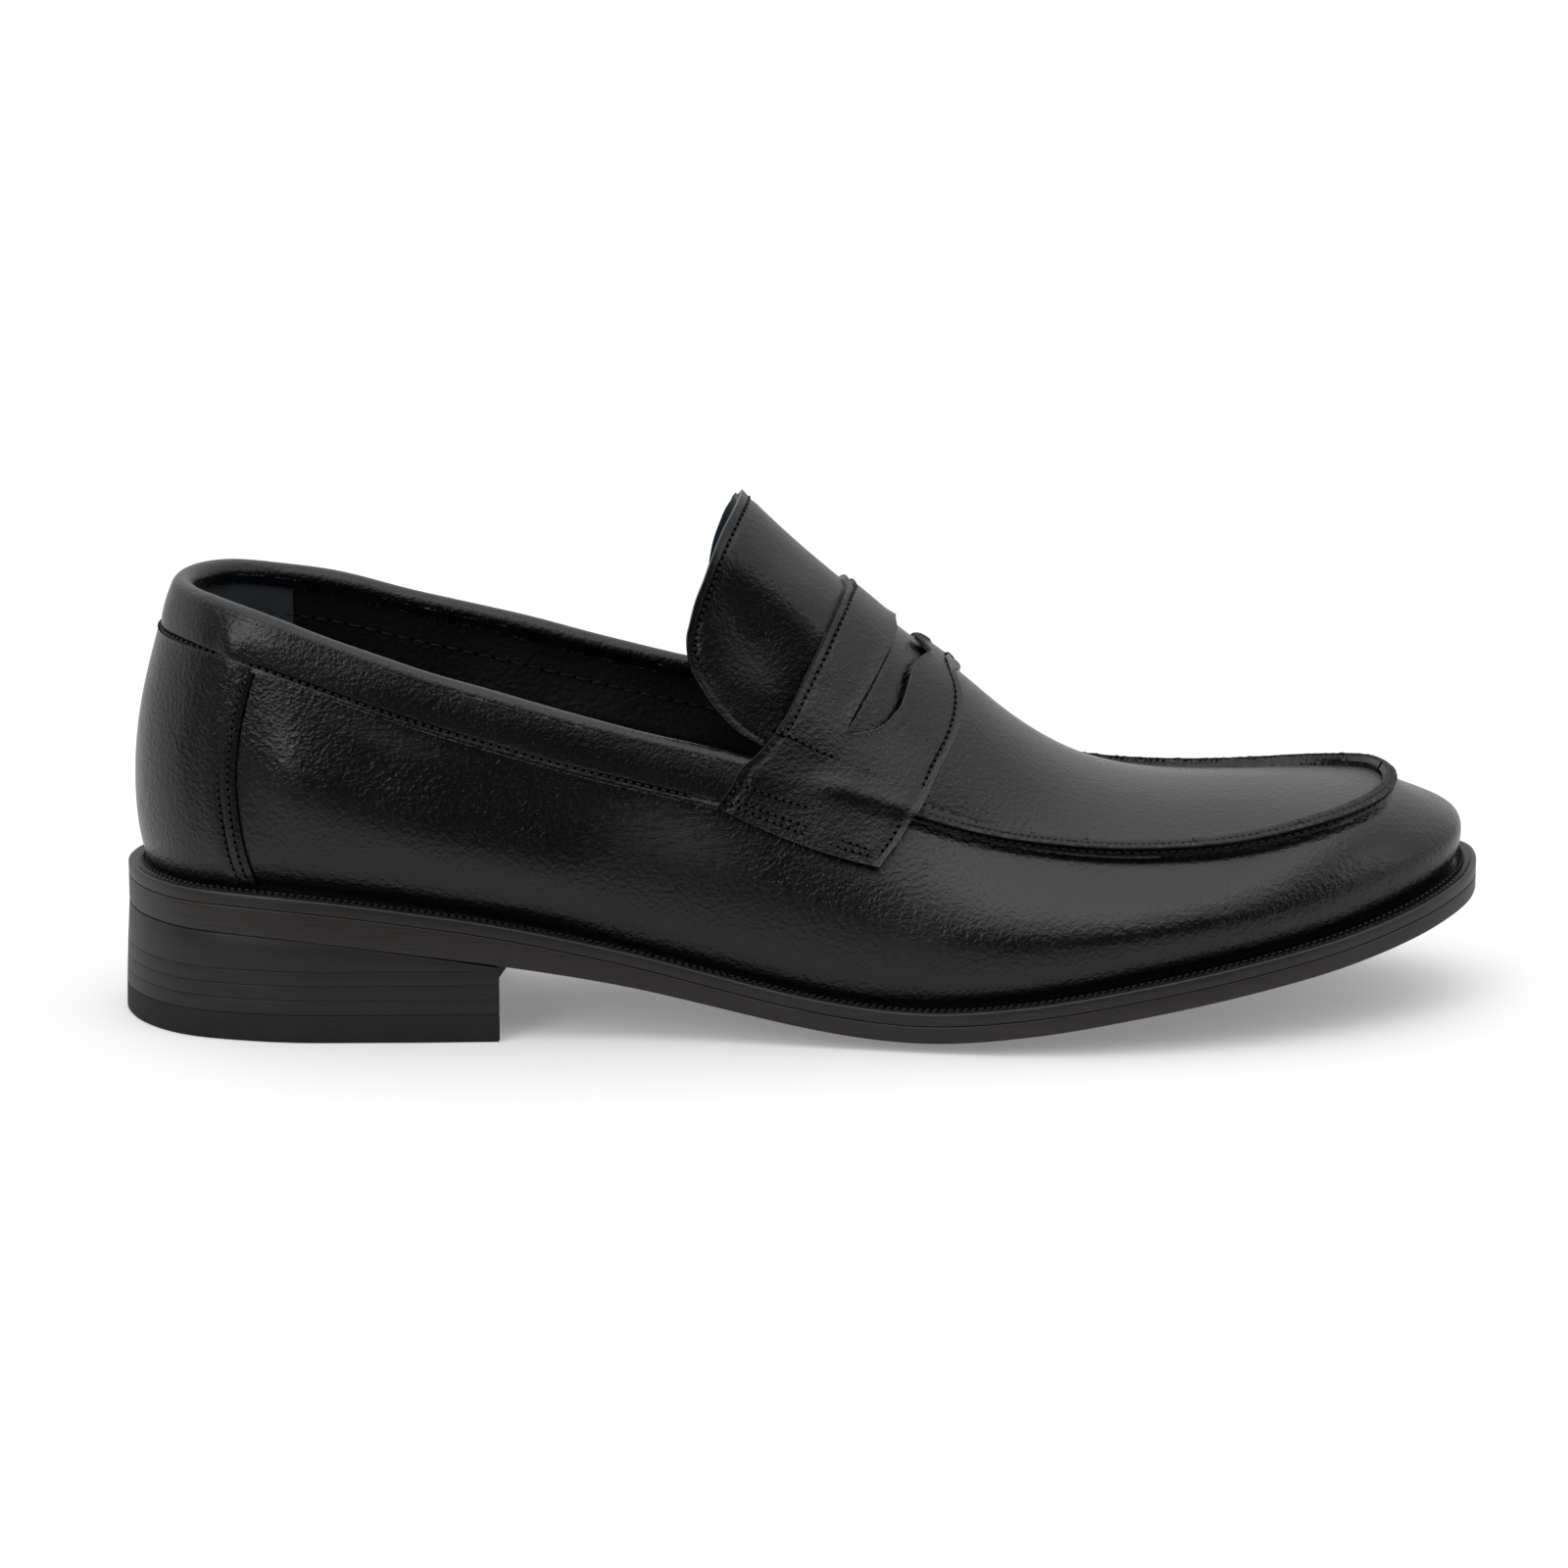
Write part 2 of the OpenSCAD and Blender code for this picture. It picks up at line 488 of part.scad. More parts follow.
// how far down the side the strap reaches, from its rear corner to its front corner
function strap_end(t) = 1.355 + 0.29 * t - 0.187 * t ^ 2;
function strap_q(p, t) = p * strap_end(t);
function strap_point(p, t) = let (q = strap_q(p, t))
    skin(strap_rear(q) * (1 - t) + strap_front(q) * t, q);
function strap_rise(p) = 0.35 + 1.3 * step(0.5, 0.68, abs(p));
module saddle_strap() {
    P = [for (p = strap_ps) [for (t = strap_ts) strap_point(p, t)]];
    lift = [for (p = strap_ps) strap_rise(p)];
    color(black)
        difference() {
            slab(shifted(P, [for (x = lift) x + leather]), shifted(P, lift));
            strap_slot();
        }
}
// free edge of the tongue, from its outer corner over the tip to its inner corner
tongue_rim = [[141.6, -0.955], [136.5, -0.943], [131.2, -0.905], [127.3, -0.855], [126.5, -0.8],
    [127.9, -0.7], [131.3, -0.54], [134.4, -0.36], [136.6, -0.17], [137.2, 0], [136.8, 0.17],
    [135.5, 0.36], [132.9, 0.55], [130.8, 0.7], [130.2, 0.8], [130.6, 0.855], [132.8, 0.905],
    [136.8, 0.943], [141.6, 0.955]];
tongue_qs = spread(-0.955, 0.955, len(tongue_rim) - 1);
tongue_places = [for (i = [0:len(tongue_rim) - 1]) [for (t = spread(0, 1, 12))
    tongue_rim[i] * (1 - t) + [strap_rear(tongue_qs[i]) - 0.4, tongue_qs[i]] * t]];
tongue_grid = [for (r = tongue_places) [for (p = r) skin(p[0], p[1])]];
tuck_depth = lining_in - 2 * gap - binding - 0.4;
tuck = [for (r = tongue_places) [for (p = r) tuck_depth * step(0.5, 0.88, abs(p[1]))]];
module tongue() {
    color(black)
        slab(shifted(tongue_grid, tuck),
            shifted(tongue_grid, [for (r = tuck) [for (x = r) x - leather]]));
}
module tongue_lining() {
    rows = [1:len(tongue_grid) - 2];
    columns = [1:len(tongue_grid[0]) - 2];
    P = [for (i = rows) [for (j = columns) tongue_grid[i][j]]];
    o = [for (i = rows) [for (j = columns) tuck[i][j] - leather - gap]];
    color(soft)
        slab(shifted(P, o), shifted(P, [for (r = o) [for (x = r) x - lining]]));
}

// ---- thread -----------------------------------------------------------------
thread = 0.55;
// one stitch lying from a to b on a surface facing n
module stitch(a, b, n) {
    d = unit(b - a);
    w = unit(cross(n, d));
    m = cross(d, w);
    c = (a + b) / 2 + m * (thread / 2 + 0.06);
    l = norm(b - a) * 0.68;
    multmatrix([[d[0], w[0], m[0], c[0]], [d[1], w[1], m[1], c[1]],
        [d[2], w[2], m[2], c[2]], [0, 0, 0, 1]])
        cube([l, thread, thread], center = true);
}
// a row of stitches through the points P facing the directions N
module row(P, N) {
    for (k = [0:len(P) - 2])
        stitch(P[k], P[k + 1], N[k]);
}
module thread_welt() {
    n = round((half_b - 14) / pitch / 1.25);
    gs = [for (k = [0:n - 1]) 2 * k / n];
    P = [for (g = gs) let (p = inset(g, 1.7)) [p[0], p[1], edge_z(station(p))]];
    color(soft)
        row(concat(P, [P[0]]), [for (p = P) [0, 0, 1]]);
}
module thread_apron() {
    n = 62;
    gs = spread(g_outer(188), g_inner(188), n);
    P = [for (g = gs) edge_at(column(g), 1.4, ridge_h * 0.5)];
    N = [for (g = gs) let (c = column(g)) unit(edge_at(c, 2.4, 0) - edge_at(c, 1.4, 0))];
    color(soft)
        row(P, N);
}
module thread_collar() {
    n = 84;
    gs = spread(-g_inner_in(128), g_outer(124), n);
    P = [for (g = gs) edge_at(column(g), collar_w - 1.5, gap + binding)];
    N = [for (g = gs) let (c = column(g))
        unit(edge_at(c, collar_w - 1.5, 2) - edge_at(c, collar_w - 1.5, 1))];
    color(soft)
        row(P, N);
}
function g_inner_in(s) = 2 - g_inner(s);
module thread_heel() {
    vs = spread(0.04, 0.74, 15);
    color(soft)
        for (side = [-1, 1])
            for (back = [1.2, 3.6]) {
                g = side > 0 ? g_outer(cover_s - back) : -g_inner_in(cover_s - back);
                c = column(g);
                P = [for (v = vs) side_at(c, v, gap + leather)];
                row(P, [for (v = vs) unit(side_at(c, v, 2) - side_at(c, v, 1))]);
            }
}
module strap_row(Q) {
    P = [for (q = Q) strap_out(q[0], q[1])];
    row(P, [for (k = [0:len(Q) - 1]) strap_normal(Q[k][0], Q[k][1])]);
}
function strap_normal(p, t) = unit(cross(strap_point(p, t + 0.03) - strap_point(p, t - 0.03),
    strap_point(p + 0.01, t) - strap_point(p - 0.01, t)));
function strap_out(p, t) =
    strap_point(p, t) + strap_normal(p, t) * (strap_rise(p) + leather + 0.08);
// place on the strap, across its length and its width, of a station and a skin position
function strap_place(s, q) =
    let (t = (s - strap_rear(q)) / (strap_front(q) - strap_rear(q))) [q / strap_end(t), t];
// the row that runs forward over the side, down and back again, below the slot
box_row = [[144.2, 0.93], [158.5, 0.94], [163.8, 0.945], [159.8, 1.111], [157.2, 1.224],
    [144.4, 1.214], [136.8, 1.185], [135.1, 1.291]];
box_places = [for (k = [0:len(box_row) - 2])
    let (a = box_row[k], b = box_row[k + 1])
    let (n = max(1, round(norm([b[0] - a[0], (b[1] - a[1]) * side_run]) / pitch)))
    for (i = [0:n - 1]) a + (b - a) * i / n];
module thread_strap() {
    color(soft) {
        strap_row([for (p = spread(-0.94, 0.94, 54)) [p, 0.07]]);
        strap_row([for (p = spread(-0.94, 0.94, 48)) [p, 0.94]]);
        for (e = [-1, 1])
            for (d = [0.955, 0.9])
                strap_row([for (t = spread(0.11, 0.9, 9)) [e * d, t]]);
        for (e = [-1, 1])
            strap_row([for (x = box_places) strap_place(x[0], e * x[1])]);
    }
}
module thread_tongue() {
    P = shifted(tongue_grid, tuck);
    margin = 1.6;
    function hem(i) = P[i][0] + unit(P[i][1] - P[i][0]) * margin;
    color(soft)
        for (i = [1:len(P) - 3]) {
            n = facing(tongue_grid, i, 1);
            parts = max(1, round(norm(hem(i + 1) - hem(i)) / pitch));
            step_along = (hem(i + 1) - hem(i)) / parts;
            for (k = [0:parts - 1])
                stitch(hem(i) + step_along * k + n * 0.1, hem(i) + step_along * (k + 1) + n * 0.1, n);
        }
}

outsole();
welt();
insole();
shank();
filler();
heel_pad();
sock_liner();
heel_lift_1();
heel_lift_2();
heel_lift_3();
heel_wedge();
top_piece();
heel_nails();
heel_counter();
toe_puff();
side_wrap();
apron();
heel_cover();
collar_binding();
saddle_strap();
tongue();
tongue_lining();
vamp_lining();
quarter_lining_outer();
quarter_lining_inner();
heel_grip();
thread_welt();
thread_apron();
thread_collar();
thread_strap();
thread_heel();
thread_tongue();
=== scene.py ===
"""Looks of the penny loafer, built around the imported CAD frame.

Lengths inside this script are millimetres along the shoe's own axes (+X toe, +Y inner
side, +Z up) and are turned into metres only when a mesh is made.
"""

import math

import bmesh
import bpy
import numpy as np
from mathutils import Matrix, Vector


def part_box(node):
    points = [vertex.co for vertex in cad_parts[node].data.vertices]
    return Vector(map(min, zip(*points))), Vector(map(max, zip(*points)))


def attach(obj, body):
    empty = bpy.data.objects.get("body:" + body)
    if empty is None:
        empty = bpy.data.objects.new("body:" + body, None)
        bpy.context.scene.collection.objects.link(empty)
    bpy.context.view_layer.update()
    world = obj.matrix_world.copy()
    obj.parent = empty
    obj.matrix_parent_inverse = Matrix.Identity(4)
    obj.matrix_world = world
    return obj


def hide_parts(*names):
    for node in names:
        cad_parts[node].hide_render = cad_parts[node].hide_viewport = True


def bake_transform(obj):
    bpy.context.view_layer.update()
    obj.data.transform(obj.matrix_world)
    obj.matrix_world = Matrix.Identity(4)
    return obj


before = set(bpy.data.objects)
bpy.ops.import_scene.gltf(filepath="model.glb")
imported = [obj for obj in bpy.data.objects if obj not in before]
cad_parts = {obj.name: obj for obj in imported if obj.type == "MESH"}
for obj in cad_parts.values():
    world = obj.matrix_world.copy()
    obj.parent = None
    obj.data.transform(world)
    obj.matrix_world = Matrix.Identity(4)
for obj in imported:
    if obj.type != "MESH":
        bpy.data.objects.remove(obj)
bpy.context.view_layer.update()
MM = 0.001

# ---- driving sizes, read from the frame ----
sole_lo, sole_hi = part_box("outsole")
# the outline below is drawn for a sole of this length and width
BASE_LENGTH, BASE_WIDTH = 303.8, 102.3
KX = (sole_hi.x - sole_lo.x) / MM / BASE_LENGTH
KY = (sole_hi.y - sole_lo.y) / MM / BASE_WIDTH
SEAT_X = 34.0
TOP_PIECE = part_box("top_piece")[1].z / MM
LIFTS = [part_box("heel_lift_%d" % k) for k in (1, 2, 3)]
LEATHER, LINING, BINDING, STIFFENER, GAP = 1.2, 0.8, 0.9, 1.0, 0.15
WELT_T, SOLE_T, SEAT_T = 3.0, 4.0, 6.3
COLLAR_W, RIDGE_H = 13.0, 2.2
LAYER_LINING = -LEATHER - STIFFENER - 2 * GAP
LINING_IN = LAYER_LINING - LINING
rng = np.random.default_rng(7)


# ---- smooth curves ----
def hermite(xs, ys, x):
    """Value at x of the smooth curve through the points, clamped at both ends."""
    xs, ys = np.asarray(xs, float), np.asarray(ys, float)
    step = np.diff(xs)
    rise = np.diff(ys, axis=0) / (step if ys.ndim == 1 else step[:, None])
    rate = np.empty_like(ys)
    rate[0], rate[-1] = rise[0], rise[-1]
    a, b = step[:-1], step[1:]
    if ys.ndim > 1:
        a, b = a[:, None], b[:, None]
    rate[1:-1] = (rise[:-1] * b + rise[1:] * a) / (a + b)
    x = np.clip(np.asarray(x, float), xs[0], xs[-1])
    i = np.clip(np.searchsorted(xs, x, side="right") - 1, 0, len(xs) - 2)
    h, t = step[i], (x - xs[i]) / step[i]
    if ys.ndim > 1:
        h, t = h[..., None], t[..., None]
    return (
        (2 * t**3 - 3 * t**2 + 1) * ys[i]
        + (t**3 - 2 * t**2 + t) * h * rate[i]
        + (3 * t**2 - 2 * t**3) * ys[i + 1]
        + (t**3 - t**2) * h * rate[i + 1]
    )


def blur(a, sigma, axis=0, loop=False):
    """Gaussian smoothing along one axis; open ends keep their end value and slope."""
    if sigma <= 0:
        return a
    n = a.shape[axis]
    k = int(min(math.ceil(3 * sigma), n - 1))
    w = np.exp(-0.5 * (np.arange(-k, k + 1) / sigma) ** 2)
    w /= w.sum()
    a = np.moveaxis(a, axis, 0)
    if loop:
        pad = np.concatenate([a[-k:], a, a[:k]])
    else:
        pad = np.concatenate([2 * a[0] - a[k:0:-1], a, 2 * a[-1] - a[-2 : -k - 2 : -1]])
    flat = pad.reshape(len(pad), -1)
    size = 1 << (len(flat) + len(w) - 1).bit_length()
    prod = np.fft.rfft(flat, size, axis=0) * np.fft.rfft(w, size)[:, None]
    out = np.fft.irfft(prod, size, axis=0)[2 * k : 2 * k + n]
    return np.moveaxis(out.reshape(a.shape), 0, axis)


FINE = 0.1
STATIONS = np.arange(0, 304 + FINE, FINE)


def along(points, sigma=5.0):
    """A width or height along the shoe, as a function of the distance from the heel."""
    p = np.array(points, float)
    v = blur(hermite(p[:, 0], p[:, 1], STATIONS), sigma / FINE)
    return lambda s: np.interp(s, STATIONS, v)


def run_length(P):
    """Length along the points P up to each of them."""
    return np.concatenate([[0], np.cumsum(np.linalg.norm(np.diff(P, axis=0), axis=1))])


def smoothstep(a, b, x):
    t = np.clip((np.asarray(x, float) - a) / (b - a), 0, 1)
    return t * t * (3 - 2 * t)


def bell(x, at, width):
    """1 at its centre, falling to 0 within about two widths."""
    return np.exp(-(((x - at) / width) ** 2))


def unit(a):
    return a / np.maximum(np.linalg.norm(a, axis=-1, keepdims=True), 1e-12)


# ---- outline of the sole, the same curve as in the CAD ----
OUTLINE = [
    (0, 0), (3.5, -14), (13, -25.5), (32, -32.5), (60, -33.5), (95, -32.5),
    (130, -34), (165, -39.5), (195, -44), (222, -43.5), (250, -37.3), (275, -26.8),
    (293.5, -13), (301.3, -1), (304, 13), (302.6, 25), (294, 37), (271, 47.5),
    (243, 54.5), (218, 58), (192, 55), (165, 45), (135, 35.5), (105, 31.5),
    (70, 32.5), (40, 33), (16, 27), (4.5, 15.5),
]
# the point of the outline where its two halves meet at the toe
TIP = 14
sized = np.array([((s - SEAT_X) * KX, y * KY) for s, y in OUTLINE])
count = len(sized)
order = np.arange(-3, count + 4)
loop_pts = sized[order % count]
chord = run_length(loop_pts)
chord -= chord[3]
HALF_A, HALF_B = chord[3 + TIP], chord[3 + count]
RING_N = 6000
ring_L = np.arange(RING_N) / RING_N * HALF_B
ring_pts = blur(hermite(chord, loop_pts, ring_L), 2.2 / (HALF_B / RING_N), loop=True)
ring_nrm = np.roll(ring_pts, -1, 0) - np.roll(ring_pts, 1, 0)
ring_nrm = unit(np.stack([ring_nrm[:, 1], -ring_nrm[:, 0]], 1))


def ring_at(table, g):
    """Value at g: 0 at the heel, 0 to 1 round the outer side, 1 to 2 back round the inner."""
    g = np.mod(np.asarray(g, float), 2)
    L = np.where(g <= 1, g * HALF_A, HALF_A + (g - 1) * (HALF_B - HALF_A))
    return np.stack([np.interp(L, ring_L, table[:, k], period=HALF_B) for k in (0, 1)], -1)


def ring(g):
    return ring_at(ring_pts, g)


def out(g):
    return unit(ring_at(ring_nrm, g))


def station(x):
    """Distance from the back of the heel, as drawn, for a place along X."""
    return np.asarray(x) / KX + SEAT_X


def ring_station(g):
    return station(ring(g)[:, 0])


steps = np.linspace(0, 1, 2001)
outer_s, inner_s = ring_station(steps), ring_station(2 - steps)


def g_outer(s):
    return np.interp(s, np.maximum.accumulate(outer_s), steps)


def g_inner(s):
    return 2 - np.interp(s, np.maximum.accumulate(inner_s), steps)


# ---- heights and widths along the shoe ----
welt_top = along([(0, 34.2), (40, 33), (60, 30.5), (80, 27.2), (97, 23.4), (115, 19),
                  (134, 13.8), (150, 10), (175, 7), (200, 9), (225, 13.2), (250, 17.6),
                  (275, 22.8), (304, 31.4)], 4)
edge_lift = along([(0, 0), (70, 0), (115, 1), (160, 2), (220, 2), (275, 1), (304, 0)])
sole_cut = along([(0, SEAT_T), (83, SEAT_T), (110, SOLE_T + 1), (140, SOLE_T + 0.2),
                  (175, SOLE_T), (304, SOLE_T)])
welt_show = along([(0, 5.6), (30, 5.8), (90, 4.6), (150, 4), (200, 5), (304, 5.2)])
spine_y = along([(33, 0), (90, 1), (140, 4), (180, 7), (220, 9), (262, 8)], 6)
bulge = along([(0, 2.4), (40, 4), (90, 4.2), (140, 3.6), (200, 3.4), (262, 2.6), (304, 1.9)])
waist_h = along([(0, 17), (60, 17), (140, 18), (200, 12), (262, 8), (304, 7)])
edge_r = along([(0, 21), (15, 23), (33, 26.5), (60, 29.5), (90, 30.5), (120, 31.5),
                (140, 32), (165, 32.5), (190, 32), (215, 32), (240, 30.5), (262, 27.5),
                (285, 24), (304, 21)])
edge_outer = along([(0, 98.7), (14, 98.3), (22, 97.3), (33, 94.9), (48, 90.2), (65, 84.3),
                    (82, 79.2), (99, 74), (116, 69.5), (138, 63.8), (150, 60),
                    (160, 56.5), (170, 52.5), (180, 48.7), (190, 45.5), (205, 42.6),
                    (220, 41), (235, 41), (250, 42.2), (265, 45), (285, 48.5),
                    (304, 50.5)], 4)
edge_inner = along([(0, 98.7), (14, 98.4), (22, 97.6), (33, 95.8), (48, 93), (65, 88.3),
                    (82, 84.3), (99, 79.4), (116, 74.6), (138, 69), (150, 65), (160, 61),
                    (170, 56.5), (180, 52.5), (190, 50), (205, 47), (220, 44.8),
                    (235, 44.2), (250, 44.8), (265, 46.2), (285, 48.4), (304, 50.5)], 4)
lean = along([(0, 15), (60, 12), (100, 14), (138, 18), (165, 27), (190, 45), (205, 58),
              (235, 66), (262, 62), (304, 58)])
crown = along([(110, 144), (120, 134), (127, 127), (139.6, 115), (147, 107),
               (151.6, 102.6), (162, 93.6), (167, 89.5), (172, 85), (179, 79.6),
               (187, 74), (191, 70), (196, 65.4), (204.5, 59), (213, 53.7), (222, 50.6),
               (231, 49.1), (246, 48.7), (262, 49.5), (275, 50.3), (286, 50.8),
               (304, 50.4)], 4)
HEEL_RISE = LIFTS[2][1].z / MM - 16.3


def heel_rise(s):
    return HEEL_RISE * np.maximum(0, 1 - s / 175) ** 1.5


def top_z(s):
    return welt_top(s) + heel_rise(s)


def edge_z(s):
    return top_z(s) + edge_lift(s)


# ---- side surface of the upper, as one fine grid ----
LOW = 0.22
NG, NV = 1800, 200


def spine(s, a=33.0, b=262.0):
    return (np.sqrt((s - a) ** 2 + 100) - np.sqrt((s - b) ** 2 + 100) + a + b) / 2


def side_grid():
    """Rows from the welt up to the top edge: a curve below the waist and one above it."""
    g = np.arange(NG) / NG * 2
    v = np.linspace(0, 1, NV)[:, None]
    o = ring(g)
    s = station(o[:, 0])
    f = o - out(g) * welt_show(s)[:, None]
    c = np.stack([(spine(s) - SEAT_X) * KX, spine_y(s) * KY], 1)
    e, rf = unit(f - c), np.linalg.norm(f - c, axis=1)
    zf = edge_z(s) + GAP
    rw, hw = rf + bulge(s), waist_h(s)
    zw = zf + hw
    re = edge_r(s) * KY
    ze = np.where(g <= 1, edge_outer(s), edge_inner(s)) + heel_rise(s)
    reach, a = np.hypot(rw - re, ze - zw), np.radians(lean(s))
    t = np.clip(v / LOW, 0, 1)
    lr = (1 - t) ** 2 * rf + 2 * t * (1 - t) * rw + t * t * rw
    lz = (1 - t) ** 2 * zf + 2 * t * (1 - t) * (zf + 0.35 * hw) + t * t * zw
    t = np.clip((v - LOW) / (1 - LOW), 0, 1)
    b0, b1, b2, b3 = (1 - t) ** 3, 3 * t * (1 - t) ** 2, 3 * t * t * (1 - t), t**3
    ur = (b0 + b1) * rw + b2 * (re + 0.38 * reach * np.sin(a)) + b3 * re
    uz = b0 * zw + b1 * (zw + 0.38 * (ze - zw)) + b2 * (ze - 0.38 * reach * np.cos(a))
    uz = uz + b3 * ze
    r, z = np.where(v < LOW, lr, ur), np.where(v < LOW, lz, uz)
    P = np.stack([c[:, 0] + e[:, 0] * r, c[:, 1] + e[:, 1] * r, z], -1)
    P = blur(P, 9, axis=0)
    return blur(P, 7, axis=1, loop=True)


SIDE = side_grid()
dg = np.roll(SIDE, -1, 1) - np.roll(SIDE, 1, 1)
dv = np.gradient(SIDE, axis=0)
SIDE_N = unit(np.cross(dg, dv))
# arc length measured down from the top edge
arc = np.linalg.norm(np.diff(SIDE, axis=0), axis=2)
arc = np.concatenate([np.cumsum(arc[::-1], axis=0)[::-1], np.zeros((1, NG))])
DEPTHS = np.arange(0, 60, 0.25)
depth_v = np.stack(
    [np.interp(DEPTHS, arc[::-1, j], np.linspace(1, 0, NV)) for j in range(NG)], 1
)
TOP_T = unit(SIDE[-1] - SIDE[-3])


def sample(grid, i, g):
    """Bilinear sample of a grid with NG columns that close into a ring."""
    x = np.mod(np.asarray(g, float), 2) / 2 * NG
    j = np.floor(x).astype(int)
    fj = (x - j)[..., None]
    i = np.clip(i, 0, grid.shape[0] - 1.000001)
    k = np.floor(i).astype(int)
    fi = (i - k)[..., None]
    k1 = np.minimum(k + 1, grid.shape[0] - 1)
    a, b = j % NG, (j + 1) % NG
    G = grid if grid.ndim == 3 else grid[..., None]
    r = (G[k, a] * (1 - fj) + G[k, b] * fj) * (1 - fi)
    r = r + (G[k1, a] * (1 - fj) + G[k1, b] * fj) * fi
    return r if grid.ndim == 3 else r[..., 0]


def side_at(v, g, off=0.0):
    v, g, off = np.broadcast_arrays(v, g, np.asarray(off, float))
    i = v * (NV - 1)
    return sample(SIDE, i, g) + unit(sample(SIDE_N, i, g)) * off[..., None]


def edge_at(h, g, off=0.0):
    """The side surface h millimetres below its top edge (above it where h < 0)."""
    h, g, off = np.broadcast_arrays(np.asarray(h, float), g, np.asarray(off, float))
    v = sample(depth_v, np.maximum(h, 0) / 0.25, g)
    p = side_at(v, g, off)
    t = unit(sample(TOP_T[None], np.zeros_like(h), g))
    return p + t * np.maximum(-h, 0)[..., None]


# ---- domed surface over the instep and the toe ----
DOME_N, DOME_S0, DOME_S1, NT, NQ = 2.1, 121.0, 303.97, 520, 241


def dome_station(t):
    return DOME_S1 - (DOME_S1 - DOME_S0) * (1 - t) ** 2


def dome_grid():
    """Rows from the outer edge over the crown line to the inner edge."""
    s = dome_station(np.linspace(0, 1, NT))
    a, b = edge_at(0, g_outer(s)), edge_at(0, g_inner(s))
    q = np.linspace(-1, 1, NQ)[:, None, None]
    mid = (a + b) / 2
    sm = station(mid[:, 0])
    h = crown(sm) + heel_rise(sm) - mid[:, 2]
    P = a * (1 - q) / 2 + b * (1 + q) / 2
    P[..., 2] += h * (1 - np.abs(q[..., 0]) ** DOME_N)
    return blur(P, 5, axis=1)


DOME = dome_grid()


def dome_at(s, q):
    s, q = np.broadcast_arrays(np.asarray(s, float), np.asarray(q, float))
    t = 1 - np.sqrt(np.clip((DOME_S1 - s) / (DOME_S1 - DOME_S0), 0, 1))
    x, y = t * (NT - 1), (q + 1) / 2 * (NQ - 1)
    j = np.clip(np.floor(x).astype(int), 0, NT - 2)
    i = np.clip(np.floor(y).astype(int), 0, NQ - 2)
    fx, fy = (x - j)[..., None], (y - i)[..., None]
    low = DOME[i, j] * (1 - fx) + DOME[i, j + 1] * fx
    high = DOME[i + 1, j] * (1 - fx) + DOME[i + 1, j + 1] * fx
    return low * (1 - fy) + high * fy


SIDE_RUN = 35.0


def skin(s, q):
    """Over the crown for |q| up to 1, then down the side of the upper."""
    s, q = np.broadcast_arrays(np.asarray(s, float), np.asarray(q, float))
    over = dome_at(s, np.clip(q, -1, 1))
    g = np.where(q < 0, g_outer(s), g_inner(s))
    down = edge_at(np.maximum(np.abs(q) - 1, 0) * SIDE_RUN, g)
    return np.where((np.abs(q) <= 1)[..., None], over, down)


def skin_normal(s, q):
    ds = skin(s + 0.35, q) - skin(s - 0.35, q)
    return unit(np.cross(ds, skin(s, q + 0.012) - skin(s, q - 0.012)))


def facing(P):
    """Outward normals of a grid."""
    return unit(np.cross(np.gradient(P, axis=1), np.gradient(P, axis=0)))


def lumps(P, size, depth, seed=0):
    """Slow, seeded unevenness of a surface, as offsets for each of its points."""
    r = np.random.default_rng(seed)
    total = np.zeros(P.shape[:-1])
    for _ in range(14):
        k = unit(r.normal(size=3)) * 2 * np.pi / (size * r.uniform(0.7, 1.6))
        total += np.sin(P @ k + r.uniform(0, 6.28))
    return total / 14**0.5 * depth


# ---- making meshes ----
def make(name, verts, faces, material, node=None, slot=None, body="shoe"):
    """Mesh piece that takes the place of a CAD node and rides on a body of the frame."""
    mesh = bpy.data.meshes.new(name)
    mesh.from_pydata((np.asarray(verts) * MM).tolist(), [], faces)
    mesh.validate()
    obj = bpy.data.objects.new(name, mesh)
    bpy.context.scene.collection.objects.link(obj)
    mesh.polygons.foreach_set("use_smooth", [True] * len(mesh.polygons))
    mesh.materials.append(material)
    if body:
        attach(obj, body)
    if node:
        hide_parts(node)
    return obj


def attribute(obj, name, values):
    a = obj.data.attributes.new(name, "FLOAT", "POINT")
    a.data.foreach_set("value", np.asarray(values, np.float32).ravel())


def numbered(grid):
    """Number of each point of a grid, in the order of its vertices."""
    return np.arange(grid.shape[0] * grid.shape[1]).reshape(grid.shape[:2])


def quads(ids, flip=False):
    a, b, c, d = ids[:-1, :-1], ids[1:, :-1], ids[1:, 1:], ids[:-1, 1:]
    return np.stack([a, d, c, b] if flip else [a, b, c, d], -1).reshape(-1, 4)


